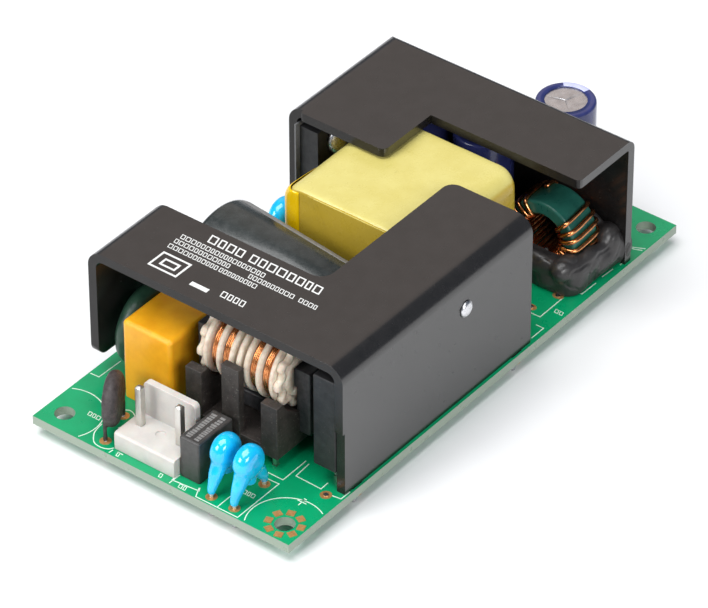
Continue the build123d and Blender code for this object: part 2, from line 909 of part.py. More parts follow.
def make_bulk_leads():
    """Two round leads: out of the seal, round a bend and down through the board."""
    wires = []
    for x, y in bulk_leads():
        dx = bulk_lead_reach * sin(radians(bulk_turn))
        dy = bulk_lead_reach * cos(radians(bulk_turn))
        along = rod((x + dx, y + dy, bulk_end_height), (x, y, bulk_end_height), lead_side / 2)
        down = round_lead(x, y, bulk_end_height)
        elbow = on_board(x, y, bulk_end_height) * Sphere(lead_side / 2)
        wires.append(along + down + elbow)
    return wires


def make_transformer_core():
    """Two E halves closed into one ferrite block with two windows."""
    x_span = (transformer_middle_x - ferrite_depth / 2, transformer_middle_x + ferrite_depth / 2)
    core = block(x_span, inner_y, inner_z)
    core = fillet(core.edges().filter_by(Axis.X).group_by(Axis.Z)[-1], tape_shoulder - tape_wall)
    through = (x_span[0] - cut_margin, x_span[1] + cut_margin)
    leg = centre_leg_half
    core -= block(through, (core_window_y[0], transformer_middle_y - leg), core_window_z)
    core -= block(through, (transformer_middle_y + leg, core_window_y[1]), core_window_z)
    return core


def make_transformer_bobbin():
    """A flange under and over the windings, and a pin rail along each side."""
    leg = centre_leg_half
    low, high = core_window_z
    flanges = block(inner_x, core_window_y, (low, low + bobbin_flange))
    flanges += block(inner_x, core_window_y, (high - bobbin_flange, high))
    x_half = ferrite_depth / 2
    barrel = block(
        (transformer_middle_x - x_half - bobbin_flange, transformer_middle_x + x_half + bobbin_flange),
        (transformer_middle_y - leg - bobbin_flange, transformer_middle_y + leg + bobbin_flange),
        (low, high),
    )
    bobbin = flanges + barrel
    for x in (transformer_x, transformer_x + transformer_length - rail_width):
        bobbin += block((x, x + rail_width), core_window_y, (rail_bottom, rail_height))
        inner = (max(x, inner_x[0]), min(x + rail_width, inner_x[1]))
        bobbin += block(inner, core_window_y, (rail_height, low + bobbin_flange))
    bobbin -= block(
        (transformer_middle_x - x_half, transformer_middle_x + x_half),
        (transformer_middle_y - leg, transformer_middle_y + leg),
        (low - cut_margin, high + cut_margin),
    )
    return bobbin


def make_transformer_windings():
    """The wound copper between the bobbin's flanges."""
    low, high = core_window_z
    leg = centre_leg_half + bobbin_flange
    coil = block(
        (inner_x[0] + winding_margin, inner_x[1] - winding_margin),
        core_window_y,
        (low + bobbin_flange, high - bobbin_flange),
    )
    coil = fillet(coil.edges().filter_by(Axis.Z), tape_corner)
    x_half = ferrite_depth / 2 + bobbin_flange
    return coil - block(
        (transformer_middle_x - x_half, transformer_middle_x + x_half),
        (transformer_middle_y - leg, transformer_middle_y + leg),
        (low - cut_margin, high + cut_margin),
    )


def shouldered_block(x_span, y_span, z_span, corner, shoulder):
    """A block with rounded uprights, and larger rounds where its sides meet the top."""
    upright = block(x_span, y_span, z_span)
    upright = fillet(upright.edges().filter_by(Axis.Z), corner)
    arched = block(x_span, y_span, z_span)
    return upright & fillet(arched.edges().filter_by(Axis.X).group_by(Axis.Z)[-1], shoulder)


def make_transformer_tape():
    """The yellow outer wrap: a closed lid and four sides, open underneath."""
    x_span = (transformer_x, transformer_x + transformer_length)
    y_span = (transformer_y, transformer_y + transformer_width)
    wrap = shouldered_block(x_span, y_span, (tape_bottom, transformer_top), tape_corner, tape_shoulder)
    inner_radii = (tape_corner - tape_wall, tape_shoulder - tape_wall)
    return wrap - shouldered_block(inner_x, inner_y, inner_z, *inner_radii)


def make_transformer_pins():
    return [lead(x, y, rail_bottom) for x, y in transformer_pins()]


def case_span(x, wall_face, side):
    """Edges of a moulded case beside a wall: side is +1 where the case lies beyond the wall's face."""
    near = wall_face + side * pad_thickness
    far = near + side * case_thickness
    return (x - case_width / 2, x + case_width / 2), (min(near, far), max(near, far))


def make_case(x, wall_face, side):
    """A three-lead moulded case with a screw hole, thinner above than below."""
    x_span, y_span = case_span(x, wall_face, side)
    top = screw_height + case_top_above_screw
    body = block(x_span, y_span, (top - case_height, top))
    shoulder = screw_height - case_top_above_screw
    open_face = y_span[1] if side > 0 else y_span[0]
    step = sorted((open_face, open_face - side * case_step))
    across = (x_span[0] - cut_margin, x_span[1] + cut_margin)
    body -= block(across, step, (shoulder, top + cut_margin))
    hole = on_board(x, (y_span[0] + y_span[1]) / 2, screw_height) * Rot(90, 0, 0)
    return body - hole * Cylinder(screw_radius + screw_hole_play, case_thickness * 2)


def make_case_leads(x, y):
    top = screw_height + case_top_above_screw - case_height
    return [lead(place_x, place_y, top) for place_x, place_y in case_leads(x, y)]


def make_pad(x, wall_face, side):
    """A soft insulating sheet between the case and the wall."""
    reach = case_width / 2 + pad_margin
    y_span = sorted((wall_face, wall_face + side * pad_thickness))
    top = screw_height + case_top_above_screw
    bend_start = sink_top - bend_radius
    pad = block((x - reach, x + reach), y_span, (top - case_height, min(top + pad_margin, bend_start)))
    hole = on_board(x, wall_face + side * pad_thickness / 2, screw_height) * Rot(90, 0, 0)
    return pad - hole * Cylinder(screw_radius + screw_hole_play, pad_thickness * 4)


def make_screw(x, wall_face, side):
    """A pan head screw from inside, whose end stands out of the wall's outer face."""
    seat = wall_face + side * (pad_thickness + case_thickness - case_step)
    end = wall_face - side * (sheet + screw_end)
    shank = rod((x, end, screw_height), (x, seat, screw_height), screw_radius)
    crown = seat + side * screw_head_height
    head = rod((x, seat, screw_height), (x, crown, screw_height), screw_head_radius)
    return shank + head


def upright_can(x, y, radius, height):
    return on_board(x, y) * capacitor_can(radius - sleeve_wall, height - sleeve_wall, *upright_shape)


def upright_sleeve(x, y, radius, height):
    can = (radius - sleeve_wall, height - sleeve_wall)
    return on_board(x, y) * capacitor_sleeve(*can, *upright_shape, sleeve_lip)


def make_ring_core():
    """A plain ring of square section, standing on edge with its axis along x."""
    ring = Cylinder(ring_radius, ring_width) - Cylinder(ring_bore, ring_width * 2)
    return on_board(ring_middle_x, ring_y, ring_reach) * Rot(0, 90, 0) * ring


def make_ring_winding():
    """Square-cornered turns of thick wire, one beside the other, with the top of the ring left bare."""
    inner_depth = ring_radius - ring_bore + 2 * wire_play
    inner_width = ring_width + 2 * wire_play
    turn = Box(inner_depth + 2 * wire, wire, inner_width + 2 * wire)
    turn = fillet(turn.edges().filter_by(Axis.Y), wire_corner)
    turn -= Box(inner_depth, wire * 2, inner_width)
    middle = (ring_radius + ring_bore) / 2
    turns = []
    for i in range(turn_count):
        angle = turn_start + i * turn_step
        place = on_board(ring_middle_x, ring_y, ring_reach) * Rot(angle, 0, 0) * Pos(0, -middle, 0)
        turns.append(place * Rot(0, 90, 90) * turn)
    return turns


def make_ring_glue():
    """Black adhesive that holds the foot of the ring to the board."""
    lump = block((glue_x, rear_wall_inner_x), (glue_y, glue_y + glue_width), (0, glue_height))
    upright = lump.edges().filter_by(Axis.Z)
    near_front = upright.group_by(Axis.X)[0].sort_by(Axis.Y)[0]
    lump = fillet(near_front, glue_corner)
    lump = fillet(lump.edges().filter_by(Axis.Z).group_by(Axis.X)[0], glue_edge)
    wall_edge = lump.edges().filter_by(Axis.Y).group_by(Axis.X)[-1]
    lump = fillet(lump.faces().sort_by(Axis.Z)[-1].edges() - wall_edge, glue_crest)
    reach = ring_width + 2 * (wire + wire_play + glue_play)
    socket = Cylinder(ring_reach + glue_play, reach)
    lump -= on_board(ring_middle_x, ring_y, ring_reach) * Rot(0, 90, 0) * socket
    return lump - make_ring_leads()


def make_ring_leads():
    return [lead(x, y, ring_lead_top) for x, y in ring_leads()]


def make_optocoupler():
    """A four-lead moulded package with its leads bent down outside the body."""
    z_span = (opto_bottom, opto_bottom + opto_height)
    body = block((opto_x, opto_x + opto_length), (opto_y, opto_y + opto_width), z_span)
    shoulder = opto_bottom + opto_height / 2
    reach = opto_lead_span / 2 + lead_side / 2
    middle_x = opto_x + opto_length / 2
    for y in (opto_leads()[0][1], opto_leads()[1][1]):
        body += block_about(middle_x, y, 2 * reach, lead_side, (shoulder - opto_lead_thickness, shoulder))
    return body + [lead(x, y, shoulder) for x, y in opto_leads()]


def make_output_header():
    """A four-way header, its tall wall on the heatsink's side."""
    width = (output_pin_count - 1) * output_pin_pitch + 2 * output_header_margin
    y_span = (output_header_y, output_header_y + width)
    base = block((output_header_x, output_header_x + output_header_depth), y_span, (0, header_base))
    wall = block(
        (output_header_x, output_header_x + header_wall),
        (y_span[0] + header_wall_inset, y_span[1] - header_wall_inset),
        (0, header_wall_top),
    )
    wall = fillet(wall.faces().sort_by(Axis.Z)[-1].edges().filter_by(Axis.X), header_wall_inset)
    housing = base + wall
    for x, y in output_pins():
        housing -= on_board(x, y, header_base / 2) * Box(header_pin_side, header_pin_side, header_base * 2)
    return housing


def under_board(x, y, size):
    """A small block soldered flat to the underside."""
    return block_about(x, y, size[0], size[1], (-board_thickness - size[2], -board_thickness))


def grid_under(place, columns, rows, pitch, size):
    parts = []
    for i in range(columns):
        for j in range(rows):
            parts.append(under_board(place[0] + i * pitch[0], place[1] + j * pitch[1], size))
    return parts


def make_controller():
    """An eight-lead controller chip under the board."""
    x, y = chip_place
    chip = under_board(x, y, (chip_length, chip_width, chip_height))
    for side in (-1, 1):
        for i in range(chip_leads_a_side):
            lead_x = x + (i - (chip_leads_a_side - 1) / 2) * chip_lead_pitch
            lead_y = y + side * (chip_width / 2 + chip_lead_reach / 2)
            chip += under_board(lead_x, lead_y, (chip_lead_width, chip_lead_reach, chip_lead_width))
    return chip


def all_parts():
    """Every node's name with its solid or solids."""
    parts = {
        "circuit_board": make_board(),
        "ground_pads": make_ground_pads(),
        "solder_joints": make_solder(),
        "front_heatsink": make_front_heatsink(),
        "rear_heatsink": make_rear_heatsink(),
        "input_header": make_input_header(),
        "input_header_pins": [header_pin(x, y, header_pin_top) for x, y in header_pins()],
        "fuse": make_fuse(),
        "thermistor": make_thermistor(),
        "film_capacitor": make_film_capacitor(),
        "varistor": make_varistor(),
        "choke_core": make_choke_core(),
        "choke_bobbin": make_choke_bobbin(),
        "choke_windings": make_choke_windings(),
        "choke_base": make_choke_base(),
        "choke_pins": make_choke_pins(),
        "y_capacitor_1": make_y_capacitor(y_cap_x, y_cap_places[0], y_cap_radius),
        "y_capacitor_2": make_y_capacitor(y_cap_x, y_cap_places[1], y_cap_radius),
        "y_capacitor_3": make_y_capacitor(far_y_cap_x, far_y_cap_y, far_y_cap_radius),
        "bridge_rectifier": make_bridge(),
        "bridge_leads": make_bridge_leads(),
        "bulk_capacitor_can": make_bulk_can(),
        "bulk_capacitor_sleeve": make_bulk_sleeve(),
        "bulk_capacitor_seal": make_bulk_seal(),
        "bulk_capacitor_leads": make_bulk_leads(),
        "transformer_core": make_transformer_core(),
        "transformer_bobbin": make_transformer_bobbin(),
        "transformer_windings": make_transformer_windings(),
        "transformer_tape": make_transformer_tape(),
        "transformer_pins": make_transformer_pins(),
        "switch_transistor": make_case(transistor_x, wall_inner_y, 1),
        "switch_transistor_leads": make_case_leads(transistor_x, transistor_y),
        "switch_transistor_pad": make_pad(transistor_x, wall_inner_y, 1),
        "switch_transistor_screw": make_screw(transistor_x, wall_inner_y, 1),
        "output_rectifier": make_case(rectifier_x, far_wall_inner_y, -1),
        "output_rectifier_leads": make_case_leads(rectifier_x, rectifier_y),
        "output_rectifier_pad": make_pad(rectifier_x, far_wall_inner_y, -1),
        "output_rectifier_screw": make_screw(rectifier_x, far_wall_inner_y, -1),
        "output_choke_core": make_ring_core(),
        "output_choke_winding": make_ring_winding(),
        "output_choke_adhesive": make_ring_glue(),
        "output_choke_leads": make_ring_leads(),
        "optocoupler": make_optocoupler(),
        "output_header": make_output_header(),
        "output_header_pins": [header_pin(x, y, header_pin_top) for x, y in output_pins()],
        "controller_chip": make_controller(),
        "surface_resistors": grid_under(
            resistor_place, resistor_columns, resistor_rows, resistor_pitch, resistor_size
        ),
        "surface_capacitors": grid_under(
            ceramic_place, ceramic_columns, ceramic_rows, resistor_pitch, ceramic_size
        ),
        "surface_diodes": grid_under(diode_place, diode_columns, diode_rows, diode_pitch, diode_size),
    }
    lead_ends = []
    for i, (x, y) in enumerate(output_cap_places, start=1):
        parts[f"output_capacitor_{i}_can"] = upright_can(x, y, output_cap_radius, output_cap_height)
        parts[f"output_capacitor_{i}_sleeve"] = upright_sleeve(x, y, output_cap_radius, output_cap_height)
        lead_ends += upright_leads(x, y)
    x, y = supply_cap_place
    parts["supply_capacitor_can"] = upright_can(x, y, supply_cap_radius, supply_cap_height)
    parts["supply_capacitor_sleeve"] = upright_sleeve(x, y, supply_cap_radius, supply_cap_height)
    lead_ends += pair_about(x, y, supply_lead_spacing, 90)
    parts["upright_capacitor_leads"] = [lead(x, y, 0) for x, y in lead_ends]
    return parts


def write_parts():
    os.makedirs("parts", exist_ok=True)
    for name, shape in all_parts().items():
        solids = shape if isinstance(shape, list) else [shape]
        node = Compound(children=[solid for item in solids for solid in item.solids()])
        node.label = name
        export_step(node, f"parts/{name}.step")
        print(name, len(node.solids()), round(node.volume, 1))


write_parts()
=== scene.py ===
# %% [markdown]
# # An open-frame power supply, dressed in Blender
#
# The solids come from the CAD model at their real size. This lesson gives them their
# finishes, and makes again in mesh those pieces whose real shape a plain solid can't
# show: wound wire, dipped coats, tape, adhesive and the printed lines of the board.

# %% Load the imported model
import math
import random

import bmesh
import bpy
from mathutils import Matrix, Vector, noise


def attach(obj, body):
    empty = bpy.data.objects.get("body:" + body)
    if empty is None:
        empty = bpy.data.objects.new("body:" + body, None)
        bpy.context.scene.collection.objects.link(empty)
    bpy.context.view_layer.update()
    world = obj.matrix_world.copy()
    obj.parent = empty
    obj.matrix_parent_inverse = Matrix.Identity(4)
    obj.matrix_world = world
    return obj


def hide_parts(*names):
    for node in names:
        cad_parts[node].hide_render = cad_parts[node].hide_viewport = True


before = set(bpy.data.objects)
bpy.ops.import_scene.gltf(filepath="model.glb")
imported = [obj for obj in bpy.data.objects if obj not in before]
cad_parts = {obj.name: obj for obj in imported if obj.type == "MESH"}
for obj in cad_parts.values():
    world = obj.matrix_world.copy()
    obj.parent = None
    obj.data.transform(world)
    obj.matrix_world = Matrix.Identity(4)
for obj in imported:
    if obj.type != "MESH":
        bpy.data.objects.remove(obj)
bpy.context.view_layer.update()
random.seed(7)
print("nodes:", len(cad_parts))

# %% [markdown]
# The maker's drawing of the board starts at its front near corner, on the top face.
# One helper turns such a place, in millimetres, into Blender's metres, so every number
# below can be read with a ruler on the board.

# %% Places on the board
BOARD_LENGTH, BOARD_WIDTH, BOARD_TOP, BOARD_BOTTOM = 101.6, 50.8, 3.6, -1.6


def at(x, y, z=0.0):
    """A place in millimetres from the board's front near corner, above its top face."""
    return Vector((x - BOARD_LENGTH / 2, y - BOARD_WIDTH / 2, z + BOARD_TOP)) / 1000


print("board corner:", at(0, 0))

# %% [markdown]
# The camera stands where the photograph was taken from: a long lens, far off, looking
# down at about 38 degrees. Direction and distance were fitted to the board's corners.

# %% The camera
TURN, RISE, ROLL = math.radians(-52.1036), math.radians(37.7822), math.radians(-0.1034)
DISTANCE, LENS, SENSOR = 0.839105, 272.45, 36
NEAREST, FARTHEST = 0.01, 20
AIM = Vector((-8.008, -4.670, 13.6)) / 1000

back = Vector((math.sin(TURN) * math.cos(RISE), -math.cos(TURN) * math.cos(RISE), math.sin(RISE)))
level = Vector((math.cos(TURN), math.sin(TURN), 0))
upright = back.cross(level)
right = level * math.cos(ROLL) + upright * math.sin(ROLL)
up = upright * math.cos(ROLL) - level * math.sin(ROLL)
turned = Matrix((right, up, back)).transposed().to_4x4()
lens = bpy.data.cameras.new("studio_camera")
lens.lens = LENS
lens.sensor_width = SENSOR
lens.clip_start = NEAREST
lens.clip_end = FARTHEST
camera = bpy.data.objects.new("studio_camera", lens)
camera.matrix_world = Matrix.Translation(AIM + back * DISTANCE) @ turned
bpy.context.scene.collection.objects.link(camera)
bpy.context.scene.camera = camera
print("camera at", camera.location)

# %% [markdown]
# The photograph is a catalogue shot on a white table. The near walls of the heatsinks
# mirror the bright table and turn grey. Their plates mirror a warm, dim part of the room,
# and the bends mirror its dark corner. So the table is pale and wide, the room is dim and
# a little blue, one large lamp hangs overhead, and a weak warm lamp stands far behind,
# where the plates look.

# %% Table and lamps
TABLE_HALF = 3.0
ROOM_TINT, ROOM_GLOW = (0.66, 0.80, 1.0, 1), 0.17


def new_object(name, form):
    """Turns a bmesh into an object of the scene."""
    mesh = bpy.data.meshes.new(name)
    form.to_mesh(mesh)
    form.free()
    made = bpy.data.objects.new(name, mesh)
    bpy.context.scene.collection.objects.link(made)
    return made


def soft_lamp(name, place, size, power, tint=(1, 1, 1)):
    """A square soft box that looks at the middle of the supply."""
    data = bpy.data.lights.new(name, "AREA")
    data.shape = "SQUARE"
    data.size = size
    data.energy = power
    data.color = tint
    lamp = bpy.data.objects.new(name, data)
    lamp.location = place
    lamp.rotation_euler = (Vector(place) - AIM).to_track_quat("Z", "Y").to_euler()
    bpy.context.scene.collection.objects.link(lamp)


table_top = bmesh.new()
bmesh.ops.create_grid(table_top, x_segments=2, y_segments=2, size=TABLE_HALF)
table = new_object("table", table_top)
room = bpy.data.worlds.new("room")
room.use_nodes = True
room.node_tree.nodes["Background"].inputs["Color"].default_value = ROOM_TINT
room.node_tree.nodes["Background"].inputs["Strength"].default_value = ROOM_GLOW
bpy.context.scene.world = room
bpy.context.scene.view_settings.view_transform = "Standard"
soft_lamp("lamp_overhead", (-0.22, 0.10, 1.1), 0.9, 14)
soft_lamp("lamp_left", (-0.95, 0.40, 0.55), 0.5, 7)
soft_lamp("lamp_front", (-0.45, -0.95, 0.60), 0.5, 7)
soft_lamp("lamp_plates", (0.95, 0.75, 0.95), 1.1, 1.95, (1.0, 0.80, 0.66))

# %% [markdown]
# Every finish starts from the same few things a real surface has: a colour that is never
# quite even, a gloss that changes a little from place to place, and a fine relief. One
# recipe makes them from noise measured in millimetres, so the grain keeps its real size.

# %% The recipe for a finish
COAT_ROUGHNESS, GLOW_DEPTH = 0.08, 0.001


def link(tree, start, out, end, into):
    tree.links.new(start.outputs[out], end.inputs[into])


def grain(tree, places, size_mm, detail, roughness):
    """Noise whose blotches are about size_mm wide."""
    made = tree.nodes.new("ShaderNodeTexNoise")
    made.inputs["Scale"].default_value = 1000 / size_mm
    made.inputs["Detail"].default_value = detail
    made.inputs["Roughness"].default_value = roughness
    link(tree, places, "Object", made, "Vector")
    return made


def between(tree, source, out, *limits):
    """Stretches a value from one range (low, high) to another (low, high)."""
    made = tree.nodes.new("ShaderNodeMapRange")
    for socket, limit in zip(("From Min", "From Max", "To Min", "To Max"), limits):
        made.inputs[socket].default_value = limit
    link(tree, source, out, made, "Value")
    return made


def mixed(tree, share, first, second):
    """Two colours by a share; each is a colour or the node that gives it."""
    made = tree.nodes.new("ShaderNodeMix")
    made.data_type = "RGBA"
    link(tree, share, "Result", made, "Factor")
    for socket, colour in ((made.inputs[6], first), (made.inputs[7], second)):
        if isinstance(colour, tuple):
            socket.default_value = (*colour, 1)
        else:
            tree.links.new(colour.outputs[2], socket)
    return made


def finish(name, dark, light, patch_mm, rough, relief_mm=0.0, relief=0.0,
           metal=0.0, coat=0.0, specks=None, sides=None, shine=0.5, glow_through=0.0):
    """A surface from two colours, a gloss range and a relief, all in millimetre grain."""
    made = bpy.data.materials.new(name)
    made.use_nodes = True
    tree = made.node_tree
    surface = tree.nodes["Principled BSDF"]
    for socket, value in (("Metallic", metal), ("Coat Weight", coat),
                          ("Coat Roughness", COAT_ROUGHNESS), ("Specular IOR Level", shine),
                          ("Subsurface Weight", glow_through), ("Subsurface Scale", GLOW_DEPTH)):
        surface.inputs[socket].default_value = value
    places = tree.nodes.new("ShaderNodeTexCoord")
    patches = grain(tree, places, patch_mm, 4.0, 0.6)
    colour = mixed(tree, between(tree, patches, "Fac", 0.35, 0.65, 0, 1), dark, light)
    if specks:
        speck_colour, speck_mm, amount = specks
        dots = grain(tree, places, speck_mm, 2.0, 0.7)
        share = between(tree, dots, "Fac", 0.78 - amount, 0.80 - amount, 0, 1)
        colour = mixed(tree, share, colour, speck_colour)
    if sides:
        lie = tree.nodes.new("ShaderNodeSeparateXYZ")
        link(tree, places, "Normal", lie, "Vector")
        flat = tree.nodes.new("ShaderNodeMath")
        flat.operation = "ABSOLUTE"
        link(tree, lie, "Z", flat, 0)
        colour = mixed(tree, between(tree, flat, "Value", 0.4, 0.6, 1, 0), colour, sides)
    tree.links.new(colour.outputs[2], surface.inputs["Base Color"])
    gloss = grain(tree, places, patch_mm * 0.4, 5.0, 0.65)
    link(tree, between(tree, gloss, "Fac", 0.3, 0.7, *rough), "Result", surface, "Roughness")
    if relief:
        bumps = grain(tree, places, relief_mm, 3.0, 0.6)
        bump = tree.nodes.new("ShaderNodeBump")
        bump.inputs["Strength"].default_value = 1.0
        bump.inputs["Distance"].default_value = relief / 1000
        link(tree, bumps, "Fac", bump, "Height")
        link(tree, bump, "Normal", surface, "Normal")
    return made


print("recipe ready")

# %% [markdown]
# The table's paint is the first use of the recipe: nearly white, with a very faint mottle.

# %% Table paint
table.data.materials.append(finish("table_paint", (0.80, 0.80, 0.80), (0.84, 0.84, 0.84), 60, (0.6, 0.75)))
print("table painted")

# %% [markdown]
# Black anodised sheet is a thin dyed skin on aluminium. It is warm black rather than
# neutral, a little dusty, and it mirrors broad light softly. Faces of the sheet that look
# along the board get the same colours with a weaker gloss: painted shade, which darkens
# them only because of the way they face. Moulded cases are matt and finely pitted, dipped
# coats are glossy and softly uneven, ferrite is a dull ground stone, and enamelled wire is
# bright copper under clear lacquer.

# %% Finishes for the solids
DYED_SKIN = dict(dark=(0.010, 0.009, 0.0085), light=(0.014, 0.0125, 0.012), patch_mm=3.0,
                 rough=(0.20, 0.28), relief_mm=0.3, relief=0.002,
                 specks=((0.055, 0.050, 0.046), 0.4, 0.05))
anodised = finish("black_anodised", shine=1.0, **DYED_SKIN)
# Painted shade: the same dyed skin with a weaker gloss, for faces that look along the board.
anodised_painted_shade = finish("anodised_painted_shade", shine=0.3, **DYED_SKIN)
mask_green = finish("solder_mask", (0.0, 0.27, 0.105), (0.0, 0.33, 0.13), 8.0, (0.25, 0.35), 1.0, 0.004,
                    sides=(0.27, 0.33, 0.26))
mask_over_copper = finish("mask_over_copper", (0.004, 0.33, 0.13), (0.010, 0.38, 0.16), 8.0, (0.25, 0.35),
                          1.0, 0.004)
copper_pad = finish("bare_copper", (0.62, 0.30, 0.10), (0.80, 0.45, 0.18), 0.8, (0.3, 0.5), 0.3, 0.01,
                    metal=0.7)
tin = finish("tin_solder", (0.50, 0.50, 0.52), (0.72, 0.72, 0.74), 0.8, (0.2, 0.4), 0.4, 0.02, metal=1.0)
silk = finish("silk_ink", (0.58, 0.72, 0.60), (0.74, 0.84, 0.74), 0.9, (0.5, 0.65), 0.2, 0.004)
nylon = finish("white_nylon", (0.52, 0.495, 0.465), (0.59, 0.565, 0.53), 3.0, (0.35, 0.5), 0.4, 0.006,
               glow_through=0.2)
post = finish("tinned_post", (0.58, 0.56, 0.52), (0.68, 0.66, 0.62), 2.5, (0.30, 0.40), 0.8, 0.002,
              metal=1.0)
dark_case = finish("moulded_black", (0.012, 0.012, 0.013), (0.022, 0.022, 0.023), 1.5, (0.4, 0.6), 0.2, 0.01,
                   specks=((0.08, 0.074, 0.068), 0.3, 0.08), shine=0.35)
dusty_case = finish("dusty_black", (0.022, 0.018, 0.016), (0.042, 0.035, 0.031), 1.4, (0.42, 0.62),
                    0.2, 0.012,
                    specks=((0.17, 0.155, 0.14), 0.35, 0.10))
fuse_case = finish("fuse_case", (0.036, 0.034, 0.033), (0.055, 0.052, 0.050), 1.2, (0.3, 0.45), 0.25, 0.01)
ferrite = finish("ferrite", (0.020, 0.020, 0.022), (0.040, 0.040, 0.042), 1.0, (0.45, 0.7), 0.3, 0.02)
beige = finish("bobbin_nylon", (0.56, 0.45, 0.34), (0.71, 0.63, 0.52), 1.1, (0.35, 0.55), 0.5, 0.02,
               glow_through=0.2)
enamel = finish("enamelled_copper", (0.56, 0.18, 0.05), (0.86, 0.37, 0.135), 0.6, (0.15, 0.3),
                metal=1.0, coat=0.5)
amber = finish("amber_case", (0.74, 0.33, 0.008), (0.84, 0.41, 0.014), 4.0, (0.28, 0.42), 0.5, 0.006,
               glow_through=0.35)
blue = finish("blue_coat", (0.006, 0.42, 0.78), (0.010, 0.52, 0.88), 2.0, (0.10, 0.18), 1.2, 0.03, coat=0.7)
maroon = finish("thermistor_coat", (0.026, 0.020, 0.020), (0.058, 0.047, 0.047), 0.8, (0.5, 0.7), 0.25, 0.05)
dark_green = finish("varistor_coat", (0.010, 0.035, 0.022), (0.020, 0.060, 0.035), 1.5, (0.3, 0.45),
                    0.5, 0.02)
charcoal = finish("charcoal_film", (0.020, 0.025, 0.024), (0.034, 0.040, 0.039), 2.0, (0.20, 0.34),
                  0.6, 0.006,
                  coat=0.2, specks=((0.06, 0.062, 0.066), 0.35, 0.06))
navy = finish("navy_film", (0.022, 0.028, 0.115), (0.036, 0.044, 0.165), 4.0, (0.18, 0.28), 1.5, 0.008,
              coat=0.3)
band_film = finish("band_film", (0.44, 0.46, 0.72), (0.54, 0.56, 0.82), 2.0, (0.2, 0.3), 1.5, 0.004, coat=0.3)
can_metal = finish("drawn_can", (0.62, 0.62, 0.64), (0.80, 0.80, 0.82), 1.5, (0.2, 0.38), 0.2, 0.006,
                   metal=1.0)
yellow_tape = finish("yellow_tape", (0.575, 0.495, 0.145), (0.625, 0.55, 0.185), 6.0, (0.22, 0.34),
                     3.0, 0.012,
                     coat=0.15, sides=(0.47, 0.33, 0.032))
# Painted light: a brighter, deeper yellow for the strip, where the lamp from the left falls on the far
# rounded corner.
strip_tape_painted_light = finish("strip_tape_painted_light", (0.78, 0.49, 0.001), (0.84, 0.55, 0.002), 5.0, (0.2, 0.3), 3.0, 0.02,
                    coat=0.2)
silicone = finish("black_silicone", (0.024, 0.022, 0.022), (0.040, 0.037, 0.036), 3.0, (0.26, 0.46),
                  1.0, 0.03)
grey_pad = finish("thermal_pad", (0.10, 0.10, 0.105), (0.15, 0.15, 0.155), 1.0, (0.5, 0.7), 0.3, 0.01)
zinc = finish("screw_steel", (0.60, 0.60, 0.62), (0.82, 0.82, 0.84), 0.6, (0.2, 0.45), 0.3, 0.02, metal=1.0)
ring_green = finish("green_ring", (0.014, 0.100, 0.078), (0.022, 0.140, 0.105), 2.0, (0.25, 0.4), 0.6, 0.03)
tan = finish("ceramic_chip", (0.35, 0.26, 0.17), (0.48, 0.36, 0.24), 0.6, (0.4, 0.6), 0.2, 0.01)
pale_case = finish("optocoupler_case", (0.62, 0.61, 0.58), (0.72, 0.71, 0.68), 1.5, (0.4, 0.55), 0.3, 0.008)
white_ink = finish("white_ink", (0.66, 0.66, 0.64), (0.80, 0.80, 0.78), 0.8, (0.45, 0.6), 0.15, 0.003)
grey_ink = finish("grey_ink", (0.16, 0.155, 0.15), (0.24, 0.235, 0.23), 0.5, (0.45, 0.6), 0.15, 0.003)
print("finishes:", len(bpy.data.materials))

# %% [markdown]
# Solids whose plain shape is already right stay in view: the board, leads, pads, chips
# and what lies inside the transformer. They only need a finish on their material slots.

# %% Dress the solids that stay in view
WEARS = (
    (mask_green, "circuit_board"), (copper_pad, "ground_pads"), (can_metal, "bulk_capacitor_can"),
    (silicone, "bulk_capacitor_seal"), (ferrite, "transformer_core"), (enamel, "transformer_windings"),
    (dark_case, "transformer_bobbin surface_resistors surface_diodes"), (tan, "surface_capacitors"),
    (grey_pad, "switch_transistor_pad output_rectifier_pad"),
    (post, "choke_pins bridge_leads bulk_capacitor_leads transformer_pins switch_transistor_leads "
           "output_rectifier_leads output_choke_leads upright_capacitor_leads"),
)
for material, nodes in WEARS:
    for node in nodes.split():
        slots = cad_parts[node].material_slots
        for slot in slots:
            slot.material = material
        if not slots:
            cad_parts[node].data.materials.append(material)
    print(material.name, "is worn by", nodes)

# %% [markdown]
# Mesh pieces are made with a few small tools. One puts a finished mesh in the scene and
# hides the solid it stands for. One sweeps a round wire along points, turning its ring
# of corners with the path so it never twists. One turns a profile on a lathe. One lays a
# flat line of ink. One takes a copy of a solid and rounds its edges, because a moulded or
# stamped edge is never perfectly sharp. The last makes a form again in small cells.

# %% Put a piece in the scene
def smooth_all(made, smooth=True):
    """Shades every face of an object smooth or flat."""
    for face in made.data.polygons:
        face.use_smooth = smooth


def place_piece(made, material, slot, *stands_for):
    """Gives an object its finish, lets it ride on the supply and hides the solids it stands for; the slot is
    not used.
    """
    made.data.materials.clear()
    made.data.materials.append(material)
    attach(made, "root")
    if stands_for:
        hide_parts(*stands_for)
    print(made.name, len(made.data.polygons), "faces")
    return made


def keep(name, form, material, slot, *stands_for, smooth=True):
    """Makes an object of a bmesh, its faces turned outward."""
    bmesh.ops.recalc_face_normals(form, faces=form.faces)
    made = new_object(name, form)
    smooth_all(made, smooth)
    return place_piece(made, material, slot, *stands_for)


# %% Join rings of corners into a skin
def skin(form, rings, closed=False):
    """Quads between each ring and the next; the two ends get caps unless the rings close up."""
    pairs = list(zip(rings, rings[1:]))
    if closed:
        pairs.append((rings[-1], rings[0]))
    for low, high in pairs:
        count = len(low)
        for k in range(count):
            form.faces.new((low[k], low[(k + 1) % count], high[(k + 1) % count], high[k]))
    if not closed:
        form.faces.new(rings[0][::-1])
        form.faces.new(rings[-1])
    return form


